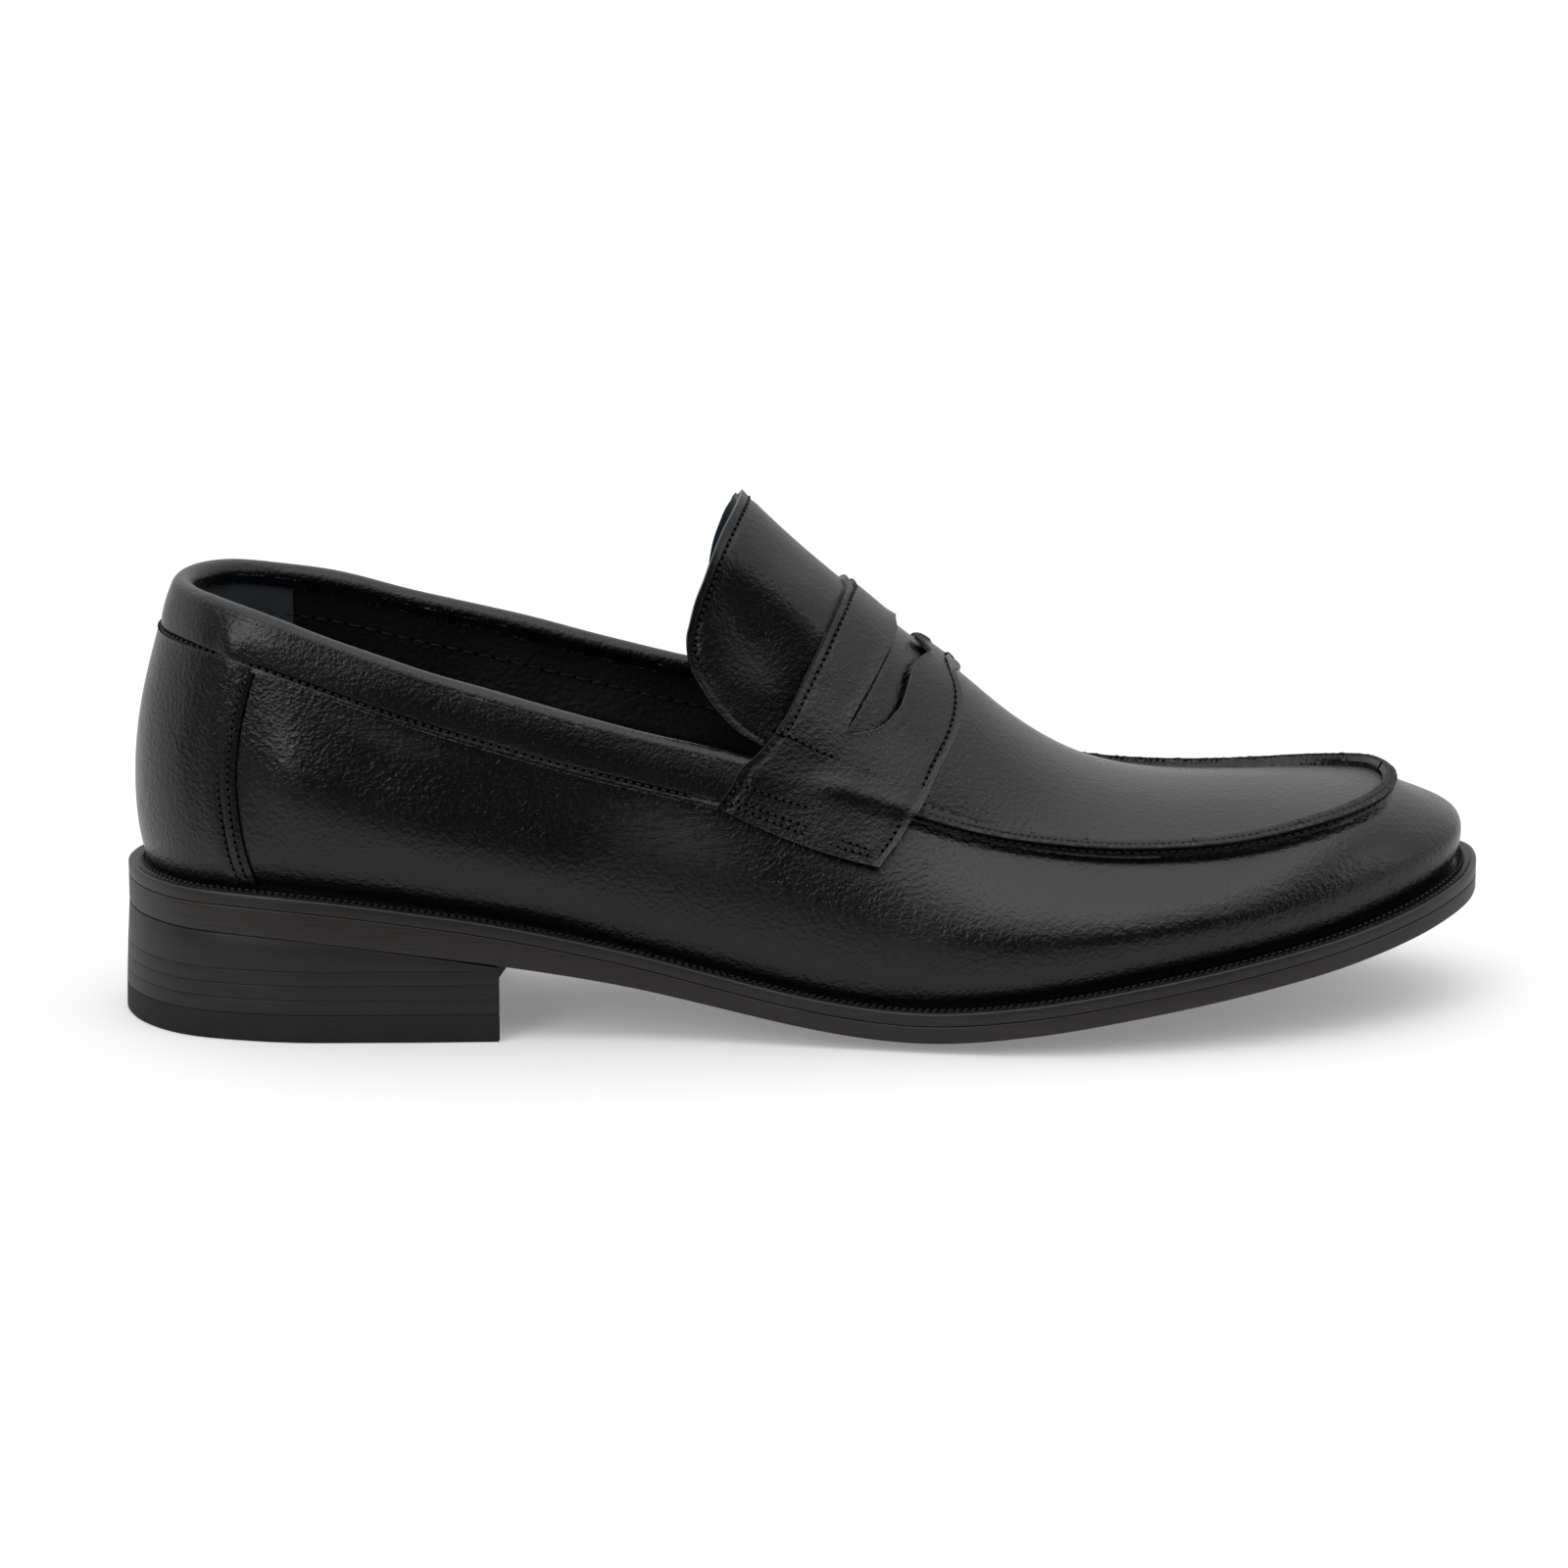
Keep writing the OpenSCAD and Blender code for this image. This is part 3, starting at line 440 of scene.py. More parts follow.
def shell(A, B, skip=None):
    """Closed sheet between the grids A (outside) and B. skip is a column whose quads
    are left out for a slit: (column, rows open) with the slit's own walls."""
    nr, nc = A.shape[:2]
    ids = np.arange(2 * nr * nc).reshape(2, nr, nc)
    if skip is not None:
        col, is_open = skip
        shut = ~is_open
        ids[:, shut, col + 1] = ids[:, shut, col]
    fa, fb = quads(ids[0], True), quads(ids[1])
    if skip is not None:
        keep = np.ones((nr - 1, nc - 1), bool)
        keep[:, col] = False
        fa, fb = fa[keep.ravel()], fb[keep.ravel()]
    faces = [fa, fb]

    def wall(a, b):
        faces.append(np.stack([a[:-1], a[1:], b[1:], b[:-1]], -1))

    wall(ids[0, 0], ids[1, 0])
    wall(ids[1, -1], ids[0, -1])
    wall(ids[1, :, 0], ids[0, :, 0])
    wall(ids[0, :, -1], ids[1, :, -1])
    if skip is not None:
        rows = np.flatnonzero(is_open[:-1] | is_open[1:])
        for c, order in ((col, (0, 1)), (col + 1, (1, 0))):
            x, y = ids[order[0], :, c], ids[order[1], :, c]
            faces.append(np.stack([x[rows], x[rows + 1], y[rows + 1], y[rows]], -1))
    faces = np.concatenate(faces)
    return np.concatenate([A.reshape(-1, 3), B.reshape(-1, 3)]), faces


def rope(name, rows, material, slot):
    """Solid whose rows follow each other around it, closed flat at both ends."""
    ids = numbered(rows)
    faces = quads(np.concatenate([ids, ids[:1]]), True).tolist()
    faces += [ids[:, 0].tolist(), ids[::-1, -1].tolist()]
    return make(name, rows.reshape(-1, 3), faces, material, slot=slot)


def tidy_faces(faces):
    """Lists of corners with repeated corners dropped, so a pinched quad is a triangle."""
    result = []
    for f in faces.tolist():
        g = [x for k, x in enumerate(f) if x != f[k - 1]]
        if len(set(g)) > 2:
            result.append(g)
    return result


def sheet(name, A, B, material, edge, skip=None, **kw):
    """Piece of leather between two grids, with its edges rounded."""
    verts, faces = shell(A, B, skip)
    obj = make(name, verts, tidy_faces(faces), material, **kw)
    if edge:
        m = obj.modifiers.new("edge", "BEVEL")
        m.width, m.segments, m.harden_normals = edge * MM, 3, False
        m.limit_method, m.angle_limit = "ANGLE", math.radians(50)
    return obj


# ---- materials ----
class Nodes:
    """Small helper for building a node material."""

    def __init__(self, name, owner=None):
        self.owner = owner or bpy.data.materials.new(name)
        self.owner.use_nodes = True
        self.tree = self.owner.node_tree
        self.tree.nodes.clear()
        self.coords = self.add("ShaderNodeTexCoord").outputs["Object"]

    def add(self, kind, **props):
        n = self.tree.nodes.new(kind)
        for k, v in props.items():
            if k in n.bl_rna.properties:
                setattr(n, k, v)
            else:
                n.inputs[k.replace("_", " ")].default_value = v
        return n

    def feed(self, socket, x):
        """Give an input its value: another node's output, a number or a tuple."""
        if isinstance(x, tuple):
            socket.default_value = (*x, 1) if socket.type == "RGBA" else x
        elif isinstance(x, (int, float)):
            socket.default_value = x
        else:
            self.tree.links.new(x, socket)

    def noise(self, scale, detail=2.0, rough=0.5, vector=None, distortion=0.0):
        n = self.add("ShaderNodeTexNoise", Scale=scale, Detail=detail, Roughness=rough,
                     Distortion=distortion)
        self.feed(n.inputs["Vector"], vector or self.coords)
        return n.outputs["Fac"]

    def cells(self, scale, feature="F1", vector=None):
        n = self.add("ShaderNodeTexVoronoi", feature=feature, Scale=scale)
        self.feed(n.inputs["Vector"], vector or self.coords)
        return n.outputs["Distance"]

    def math(self, op, a, b=0.0, clamp=False):
        n = self.add("ShaderNodeMath", operation=op, use_clamp=clamp)
        self.feed(n.inputs[0], a)
        self.feed(n.inputs[1], b)
        return n.outputs[0]

    def plus(self, first, *more):
        for x in more:
            first = self.math("ADD", first, x)
        return first

    def times(self, a, b, clamp=False):
        return self.math("MULTIPLY", a, b, clamp)

    def ramp(self, fac, stops):
        n = self.add("ShaderNodeValToRGB")
        self.feed(n.inputs[0], fac)
        e = n.color_ramp.elements
        while len(e) < len(stops):
            e.new(0.5)
        for k, (pos, value) in enumerate(stops):
            e[k].position = pos
            e[k].color = (*value, 1) if isinstance(value, tuple) else (value,) * 3 + (1,)
        return n.outputs[0]

    def rise(self, fac, low, high):
        return self.ramp(fac, [(low, 0.0), (high, 1.0)])

    def mix(self, fac, a, b):
        n = self.add("ShaderNodeMix", data_type="RGBA")
        for key, x in ((0, fac), (6, a), (7, b)):
            self.feed(n.inputs[key], x)
        return n.outputs[2]

    def bump(self, height, depth_mm, normal=None):
        n = self.add("ShaderNodeBump", Strength=1.0, Distance=depth_mm * MM)
        self.feed(n.inputs["Height"], height)
        if normal is not None:
            self.feed(n.inputs["Normal"], normal)
        return n.outputs["Normal"]

    def mapped(self, scale=(1, 1, 1), rotation=(0, 0, 0)):
        n = self.add("ShaderNodeMapping", Scale=scale, Rotation=rotation)
        self.feed(n.inputs["Vector"], self.coords)
        return n.outputs[0]

    def axes(self, vector):
        n = self.add("ShaderNodeSeparateXYZ")
        self.feed(n.inputs[0], vector)
        return n.outputs

    def attribute(self, name):
        return self.add("ShaderNodeAttribute", attribute_name=name).outputs["Fac"]

    def finish(self, color, roughness, normal=None, **values):
        b = self.add("ShaderNodeBsdfPrincipled")
        if normal is not None:
            values["Normal"] = normal
        for key, x in dict(values, Base_Color=color, Roughness=roughness).items():
            self.feed(b.inputs[key.replace("_", " ")], x)
        self.feed(self.add("ShaderNodeOutputMaterial").inputs[0], b.outputs[0])
        return self.owner


def shade(tone, share):
    return tuple(c * share for c in tone)


def leather(name, tone=(0.0013, 0.0013, 0.0016), rough=0.23, cell=0.7, grain=0.09,
            creases=0.0, coat=0.1, coarse=0.15):
    """Polished calf: fine cells, coarser pebbles and, where marked, creases."""
    n = Nodes(name)
    shift = n.add("ShaderNodeVectorMath", operation="ADD")
    n.feed(shift.inputs[0], n.coords)
    n.feed(shift.inputs[1], n.times(n.noise(900, 2), 0.0007))
    pebble = n.cells(1000 / cell, "SMOOTH_F1", shift.outputs[0])
    fine = n.noise(2600, 3, 0.6)
    pores = n.rise(n.cells(1000 / 1.35), 0.0, 0.16)
    height = n.plus(n.times(pebble, -1.0), n.times(fine, 0.9), n.times(pores, 0.25))
    normal = n.bump(height, grain)
    pebbled = n.plus(n.noise(860, 2, 0.55), n.times(n.cells(780), 0.5))
    normal = n.bump(pebbled, coarse, normal)
    soft = n.bump(n.noise(95, 3, 0.5), 0.16, normal)
    if creases:
        mask = n.attribute("crease")
        lines = n.noise(1, 5, 0.62, n.mapped((240, 240, 1300)), 0.7)
        ridged = n.math("ABSOLUTE", n.math("SUBTRACT", lines, 0.5))
        soft = n.bump(n.times(ridged, mask), creases, soft)
    wide = n.noise(38, 3, 0.55)
    dark = shade(tone, 0.78)
    light = shade(tone, 1.25)
    color = n.mix(n.rise(wide, 0.3, 0.72), dark, light)
    spots = n.rise(fine, 0.35, 0.75)
    color = n.mix(n.times(spots, 0.25), color, light)
    r = n.plus(rough - 0.07, n.times(wide, 0.10), n.times(spots, 0.05))
    return n.finish(color, r, soft, Coat_Weight=coat, Coat_Roughness=0.16)


def raw_edge(name, tone=(0.02, 0.0175, 0.016)):
    """Cut leather, rough with fibres."""
    n = Nodes(name)
    fibre = n.noise(1, 4, 0.65, n.mapped((2600, 2600, 2600)))
    lump = n.noise(700, 3, 0.6)
    normal = n.bump(n.plus(fibre, n.times(lump, 0.8)), 0.16)
    color = n.mix(n.rise(fibre, 0.4, 0.7), shade(tone, 0.5), shade(tone, 2.2))
    return n.finish(color, 0.62, normal)


def edge_dye(name, tone, stripe=0.0, pitch=1.9, rough=0.36):
    """Polished, dyed leather edge with the fine lines left by the trimmer."""
    n = Nodes(name)
    flow = n.noise(1, 5, 0.6, n.mapped((60, 60, 2600)))
    speck = n.noise(1800, 3, 0.6)
    color = n.mix(n.rise(flow, 0.36, 0.66), shade(tone, 0.68), shade(tone, 1.4))
    color = n.mix(n.times(n.rise(speck, 0.55, 0.8), 0.3), color, shade(tone, 2.0))
    height = n.plus(n.times(flow, 1.2), n.times(speck, 0.4))
    if stripe:
        wav = n.plus(n.axes(n.coords)[2], n.times(n.noise(14, 2), 0.0011))
        saw = n.math("FRACT", n.math("DIVIDE", wav, pitch * MM))
        line = n.ramp(saw, [(0.0, 1.0), (0.08, 0.0)])
        color = n.mix(n.times(line, stripe), color, shade(tone, 0.25))
        height = n.math("SUBTRACT", height, n.times(line, 1.6 * stripe))
    normal = n.bump(height, 0.035)
    r = n.plus(rough, n.times(speck, 0.14))
    return n.finish(color, r, normal, Coat_Weight=0.1, Coat_Roughness=0.3)


def rubber(name):
    """Dull black rubber with pits and a little dust."""
    n = Nodes(name)
    pits = n.rise(n.cells(900), 0.0, 0.28)
    big = n.rise(n.noise(420, 4, 0.7), 0.36, 0.44)
    grit = n.noise(2400, 3, 0.6)
    height = n.plus(n.times(pits, 0.5), n.times(big, 0.8), n.times(grit, 0.5))
    normal = n.bump(height, 0.12)
    dust = n.rise(n.noise(120, 4, 0.6), 0.45, 0.8)
    color = n.mix(n.times(dust, 0.5), (0.004, 0.0039, 0.0038), (0.011, 0.0104, 0.0098))
    return n.finish(color, 0.72, normal)


def suede(name, tone):
    """Napped leather with a soft sheen."""
    n = Nodes(name)
    nap = n.noise(1, 4, 0.7, n.mapped((2200, 2200, 900)))
    cloud = n.noise(70, 3, 0.6)
    color = n.mix(n.rise(cloud, 0.3, 0.7), shade(tone, 0.75), shade(tone, 1.3))
    color = n.mix(n.times(nap, 0.5), color, shade(tone, 1.8))
    normal = n.bump(nap, 0.12)
    return n.finish(color, 0.92, normal, Sheen_Weight=0.35, Sheen_Roughness=0.5,
                    Specular_IOR_Level=0.2)


def thread(name, tone=(0.005, 0.005, 0.006)):
    """Twisted, waxed thread; the discs at the needle holes are painted shade in matt black."""
    n = Nodes(name)
    twist = n.add("ShaderNodeTexWave", Scale=1500.0, Distortion=0.6, Detail=1.0)
    n.feed(twist.inputs["Vector"], n.mapped(rotation=(0.5, 0.6, 0.4)))
    fibre = n.noise(5200, 2)
    color = n.mix(twist.outputs["Fac"], shade(tone, 0.6), shade(tone, 1.7))
    normal = n.bump(n.plus(twist.outputs["Fac"], fibre), 0.05)
    # the needle-hole discs are painted shade: near black, matt and without gloss
    hole_shade = n.attribute("hole_shade")
    color = n.mix(hole_shade, color, (0.0006, 0.0006, 0.0006))
    gloss = n.times(n.math("SUBTRACT", 1.0, hole_shade), 0.5)
    return n.finish(color, n.plus(n.times(hole_shade, 0.45), 0.5), normal, Specular_IOR_Level=gloss)


def granular(name, low, high, scale, rough=0.8, depth=0.2, metallic=0.0):
    """Board, cork, foam or brushed metal, from cells and noise between two colours."""
    n = Nodes(name)
    grain = n.cells(scale)
    dust = n.noise(scale * 2.5, 4, 0.65)
    color = n.mix(n.times(n.plus(grain, dust), 0.6, True), low, high)
    normal = n.bump(n.plus(grain, dust), depth)
    return n.finish(color, rough, normal, Metallic=metallic)


M_UPPER = leather("calf_upper", creases=0.5)
M_STRAP = leather("calf_strap", rough=0.27)
M_TONGUE = leather("calf_tongue", rough=0.29, coarse=0.12)
M_BINDING = leather("calf_binding", rough=0.26, coarse=0.12)
M_LINING = leather("lining_black", tone=(0.0012, 0.0012, 0.0014), rough=0.5, cell=0.5,
                   grain=0.03, coat=0.0)
M_SOCK = leather("sock_black", tone=(0.003, 0.003, 0.0034), rough=0.52, cell=0.7, coat=0.0)
M_RAW = raw_edge("raw_leather_edge")
# paler cut edge for the strap's slot, partly its own colour and partly a painted highlight
M_CUT_HIGHLIGHT = raw_edge("cut_edge_painted_highlight", (0.05, 0.048, 0.047))
M_SUEDE = suede("heel_suede", (0.030, 0.036, 0.045))
M_TEAL = suede("tongue_suede", (0.008, 0.031, 0.050))
M_THREAD = thread("waxed_thread")
M_WELT = edge_dye("welt_edge", (0.014, 0.0125, 0.012), rough=0.34)
M_SOLE = edge_dye("sole_edge", (0.017, 0.0145, 0.013), rough=0.40)
M_STACK = edge_dye("heel_stack", (0.0075, 0.0062, 0.0055), stripe=0.3, pitch=1.85, rough=0.42)
M_RUBBER = rubber("top_rubber")
M_BOARD = granular("leather_board", (0.25, 0.16, 0.09), (0.5, 0.36, 0.22), 900)
M_CORK = granular("cork_granules", (0.16, 0.08, 0.04), (0.5, 0.33, 0.18), 420, depth=0.4)
M_FOAM = granular("latex_foam", (0.5, 0.42, 0.28), (0.72, 0.64, 0.46), 1400)
M_STEEL = granular("bright_steel", (0.45, 0.46, 0.48), (0.62, 0.63, 0.65), 2600, 0.32,
                   0.01, 1.0)

# ---- stitches ----
SEGS, RINGS = 8, 9


def stitches(name, runs, radius, lift, sink, node, fill=0.74, body="shoe", hole_shade=0.42):
    """Rows of bowed stitches with a matt black disc at each end, painted shade for the
    needle hole. A run is (points, normals); each stitch spans two points."""
    u = np.linspace(-1, 1, RINGS)[:, None]
    a = (np.arange(SEGS) / SEGS * 2 * np.pi)[None]
    grid = np.arange(SEGS * RINGS).reshape(RINGS, SEGS)
    ring_next = np.roll(grid, -1, 1)
    tube = np.stack([grid[:-1], ring_next[:-1], ring_next[1:], grid[1:]], -1).reshape(-1, 4)
    size = SEGS * RINGS
    verts, faces, dark, base = [], [], [], 0

    def add(c, forward, sideways, upward, l, w, h, is_hole_shade):
        """One closed form at each centre c: half length l, half width w, half height h."""
        nonlocal base
        blunt = np.sqrt(np.clip(1 - 0.92 * np.abs(u) ** (2.2 if is_hole_shade else 4), 0.015, 1))
        for k in range(len(c)):
            bow = 0 * u if is_hole_shade else lift * (1 - u**2)
            x = u * l[k]
            y, z = w * blunt * np.cos(a), h * blunt * np.sin(a) + bow
            pts = (c[k] + forward[k] * x[..., None] + sideways[k] * y[..., None]
                   + upward[k] * z[..., None])
            verts.append(pts.reshape(-1, 3))
            faces.extend((tube + base).tolist())
            faces.append((grid[0, ::-1] + base).tolist())
            faces.append((grid[-1] + base).tolist())
            dark.append(np.full(size, float(is_hole_shade)))
            base += size

    for P, N in runs:
        A, B = P[:-1], P[1:]
        d = B - A
        length = np.linalg.norm(d, axis=1)
        d = d / np.maximum(length, 1e-9)[:, None]
        n = unit((N[:-1] + N[1:]) / 2)
        w = unit(np.cross(n, d))
        m = unit(np.cross(d, w))
        add((A + B) / 2 - m * sink, d, w, m, length * fill / 2, radius, radius, False)
        # a flat, near-black disc at each needle hole, painted shade
        if hole_shade:
            add(A, d, w, m, 0 * length + hole_shade, hole_shade * 0.85, 0.12, True)
    obj = make(name, np.concatenate(verts), faces, M_THREAD, node, "thread", body)
    attribute(obj, "hole_shade", np.concatenate(dark))
    return obj


def resample(P, N, pitch):
    """Points every pitch along a polyline, with its normals."""
    L = run_length(P)
    n = max(2, int(round(L[-1] / pitch)) + 1)
    x = np.linspace(0, L[-1], n)
    pick = lambda T: np.stack([np.interp(x, L, T[:, k]) for k in range(3)], -1)
    return pick(P), unit(pick(N))


def side_run(h, g, off, pitch, by_v=False):
    P = side_at(h, g, off) if by_v else edge_at(h, g, off)
    Q = side_at(h, g, off + 1.0) if by_v else edge_at(h, g, off + 1.0)
    return resample(P, unit(Q - P), pitch)


# ---- side wrap ----
gs = np.concatenate([np.linspace(g_outer(20), 1, 560), np.linspace(1, g_inner(20), 560)[1:]])
s_g = ring_station(gs)
up = RIDGE_H * smoothstep(168.5, 174, s_g) + 0.05
drop = (1.4 + 0.5 * (1 - smoothstep(150, 171, s_g))
        + 1.7 * (1 - smoothstep(141, 150, s_g)))
v_top = sample(depth_v, (drop + 0.35) / 0.25, gs)
body_v = np.linspace(0, 1, 92)[:, None] * v_top
A = side_at(body_v, gs)
N = facing(A)
depth_mm = sample(arc, body_v * (NV - 1), gs[None] + 0 * body_v)
swell = lumps(A, 34, 0.16, 3)
# the quarter is fullest half way up
swell += (2.0 * bell(depth_mm, 35, 11)
          * smoothstep(26, 42, s_g) * (1 - smoothstep(92, 114, s_g)))
# the leather is drawn in next to the raised seam
pull = -0.35 * bell(depth_mm, 2.2, 1.6) * smoothstep(169, 175, s_g)
fade = smoothstep(0, 0.08, body_v)
A = A + N * (swell * fade + pull)[..., None]


def turned_up(h, lowest):
    """Rows that rise into the raised seam before the strap."""
    return [edge_at(h, gs, np.maximum(up * k, lowest + 0.01 * k)) for k in (0.4, 0.75, 1.0)]


A = np.concatenate([A, [edge_at(drop + 0.12, gs, 0.02), edge_at(drop, gs, 0.2)],
                    turned_up(drop - 0.02, 0.21)])
B = np.concatenate([side_at(body_v, gs, -LEATHER),
                    [edge_at(drop - 1.1, gs, -LEATHER), edge_at(drop - 1.15, gs)],
                    turned_up(drop - 1.2, 0.01)])
# where the leather creases: beside the strap, under the collar and before the strap
crease = (bell(s_g[None], 124, 13) * bell(depth_mm, 21, 6.5) * (gs < 1)[None]
          + 0.5 * bell(s_g[None], 62, 16) * bell(depth_mm, 17, 3.5)
          + 0.45 * bell(s_g[None], 175, 12) * bell(depth_mm, 30, 9))
crease = np.concatenate([crease, np.zeros((len(A) - len(crease), len(gs)))])
wrap = sheet("upper_side_wrap", A, B, M_UPPER, edge=0.22, node="side_wrap",
             slot="upper_leather")
attribute(wrap, "crease", np.stack([crease, crease]))

# ---- apron ----
REAR_LINE = np.array([(0, 160), (0.355, 157.6), (0.626, 153.6), (0.81, 149), (0.9, 146),
                      (0.95, 143.3), (1.02, 139), (1.22, 135), (1.355, 132), (1.6, 131.5)])
FRONT_LINE = np.array([(0, 182.8), (0.175, 183.7), (0.306, 185), (0.47, 185.2),
                       (0.657, 183.5), (0.868, 179), (1.038, 174.7), (1.282, 170.6),
                       (1.458, 167.1), (1.6, 166)])


def line_of(table, sigma=0.03):
    x = np.linspace(-1.7, 1.7, 3401)
    y = blur(hermite(table[:, 0], table[:, 1], np.abs(x)), sigma * 1000)
    return lambda q: np.interp(q, x, y)


strap_rear, strap_front = line_of(REAR_LINE, 0.02), line_of(FRONT_LINE, 0.02)
SLOT_TIP = 0.853
slot_fore = line_of(np.array([(0, 178.9), (0.08, 178.7), (0.193, 177.1), (0.369, 174.4),
                              (0.509, 173.3), (0.64, 171.8), (0.741, 168.8), (0.819, 164.5),
                              (0.846, 161.2), (0.853, 159.2), (1.7, 159.2)]), 0.003)


def slot_rear(q):
    return strap_rear(q) + 11.3 - 1.3 * bell(q, 0, 0.12)


t_ap = np.linspace(0, 1, 600)
q_ap = np.linspace(-1, 1, 181) * 0.985


def apron_station(t, q):
    rear = np.maximum(strap_rear(q) + 4, 146 * smoothstep(0.7, 0.9, np.abs(q)))
    return DOME_S1 * (1 - (1 - t) ** 1.8) + rear * (1 - t) ** 1.8


S = apron_station(t_ap[None], q_ap[:, None])
P = dome_at(S, q_ap[:, None])
N = facing(P)
swell = lumps(P, 40, 0.14, 5)
# the apron sinks a little where the edges of the slot press on it
inside_slot = (1 - smoothstep(0.76, 0.86, np.abs(q_ap)))[:, None]
groove = bell(S - slot_rear(q_ap)[:, None], 0.15, 0.55)
groove += 0.3 * bell(S - slot_fore(q_ap)[:, None], -0.2, 0.6)
P = P + N * (swell - 0.65 * groove * inside_slot)[..., None]


def apron_rim(outer, h):
    """The edge turned up into the raised seam, from its foot to its top."""
    s, g = (S[0], g_outer(S[0])) if outer else (S[-1], g_inner(S[-1]))
    lift = smoothstep(168.5, 174, s) * RIDGE_H
    return [edge_at(h, g, lift * k + 0.05) for k in (0.12, 0.5, 1.0)]


A = np.concatenate([apron_rim(True, -1.3)[::-1], P[3:-3], apron_rim(False, -1.3)])
B = np.concatenate([apron_rim(True, -0.12)[::-1], (P - N * LEATHER)[3:-3],
                    apron_rim(False, -0.12)])
B[2] = edge_at(-0.15, g_outer(S[0]), -LEATHER)
B[-3] = edge_at(-0.15, g_inner(S[-1]), -LEATHER)
sheet("upper_apron", A, B, M_UPPER, edge=0.2, node="apron", slot="upper_leather")

# ---- raised seam cord: the two raw edges pressed together, rough on top ----
ridge_g = np.linspace(g_outer(170), g_inner(170), 1300)
lift = smoothstep(168.5, 174, ring_station(ridge_g)) * RIDGE_H
fray = 0.10 * np.interp(np.arange(1300), np.arange(0, 1300, 4), rng.normal(size=325))
fray += 0.05 * rng.normal(size=1300)
profile = [(1.42, -0.25), (1.5, -0.05), (1.2, 0.12), (0.6, 0.2), (0.05, 0.12), (-0.5, 0.22),
           (-1.1, 0.14), (-1.42, -0.05), (-1.36, -0.25), (0.0, -0.3)]
rows = [edge_at(h, ridge_g, lift + dz + fray * (0.9 if dz > 0 else 0.3)) for h, dz in profile]
rope("apron_seam_edge", np.stack(rows), M_RAW, "upper_leather")

# ---- heel cover ----
def cover_g(share, v, back=0.0):
    """Ring places share (-1..1) across the cover, whose front edges are bowed."""
    front = hermite([0, 0.12, 0.3, 0.5, 0.7, 0.86, 1],
                    [30.2, 28.2, 26.6, 27.2, 29.2, 31.6, 33], v)
    g_lat, g_med = g_outer(front) - back / HALF_A, 2 - g_inner(front) - back / HALF_A
    return np.where(share < 0, share * g_med, share * g_lat)


share = np.linspace(-1, 1, 240)[None]
gs = cover_g(share[0], np.full(240, 0.86))
v_top = sample(depth_v, np.full(240, (COLLAR_W - 1.0) / 0.25), gs)
body_v = np.linspace(0, 1, 110)[:, None] * v_top
gs = cover_g(share + 0 * body_v, body_v)
A = side_at(body_v, gs, GAP + LEATHER)
near = (1 - np.abs(share)) * np.abs(cover_g(np.sign(share) + 0 * body_v, body_v)) * HALF_A
stitch_pull = -0.16 * (bell(near, 1.2, 0.45) + bell(near, 3.4, 0.45))
stitch_pull += -0.5 * bell(near, 0, 0.5) + 0.25 * bell(near, 5.5, 2.5)
A = A + facing(A) * (lumps(A, 30, 0.14, 11) * smoothstep(0, 4, near)
                     * smoothstep(0, 0.08, body_v) + stitch_pull)[..., None]
B = side_at(body_v, gs, GAP)
sheet("upper_heel_cover", A, B, M_UPPER, edge=0.3, node="heel_cover", slot="upper_leather")

# ---- collar ----
gs = np.linspace(-float(2 - g_inner(141)), float(g_outer(141)), 1000)
s_g = ring_station(gs)
o_out, o_in = GAP + BINDING, LINING_IN - GAP - BINDING
mid, R = (o_out + o_in) / 2, (o_out - o_in) / 2
ROLL_H = R - 0.4
flat_h = np.linspace(COLLAR_W, ROLL_H, 44)
angles = np.radians(np.linspace(0, 180, 22))
back_h = np.linspace(ROLL_H, 4.4, 16)


def u_path(r):
    h = np.concatenate([flat_h, ROLL_H - r * np.sin(angles), back_h])
    o = np.concatenate([np.full(44, mid + r), mid + r * np.cos(angles), np.full(16, mid - r)])
    return h, o


h, o = u_path(R)
dome = 0.3 * np.sin(np.pi * np.clip((h - ROLL_H) / (10.6 - ROLL_H), 0, 1)) * (o > 0)
pull = -0.3 * bell(h, 11.4, 0.55) * (o > 0)
A = edge_at(h[:, None], gs[None], (o + dome + pull)[:, None])
seam_bump = 0.9 * (bell(s_g, 25.5, 3.0))[None] * smoothstep(2, 10, h)[:, None]
seam_bump = seam_bump * (o > 0)[:, None]
A = A + facing(A) * (lumps(A, 22, 0.13, 17) + seam_bump * 0.8)[..., None]
h2, o2 = u_path(R - BINDING)
B = edge_at(h2[:, None], gs[None], o2[:, None])
sheet("collar_roll", A, B, M_BINDING, edge=0.3, node="collar_binding",
      slot="binding_leather")


# ---- linings and heel grip ----
def lining_sheet(name, g0, g1, n, material, node, slot, seed, extra=0.0):
    gs = np.linspace(g0, g1, n)
    v_top = sample(depth_v, np.full(n, (ROLL_H + 0.3) / 0.25), gs)
    v = np.linspace(0.03, 1, 70)[:, None] * v_top
    A = side_at(v, gs, LAYER_LINING + extra)
    B = side_at(v, gs, LINING_IN + extra)
    depth = sample(arc, v * (NV - 1), gs[None] + 0 * v)
    pull = 0.25 * bell(depth, 21, 0.8)
    B = B - facing(B) * (lumps(B, 26, 0.12, seed) - pull)[..., None]
    return sheet(name, A, B, material, edge=0.2, node=node, slot=slot)


lining_sheet("lining_quarter_outer", float(g_outer(33.2)), float(g_outer(164)), 270, M_LINING,
             "quarter_lining_outer", "lining_leather", 21)
lining_sheet("lining_quarter_inner", float(g_inner(164)), float(g_inner(33.2)), 270, M_LINING,
             "quarter_lining_inner", "lining_leather", 22)
lining_sheet("heel_grip_suede", -float(2 - g_inner(34.6)), float(g_outer(34.6)), 180, M_SUEDE,
             "heel_grip", "heel_suede", 23, -0.25)

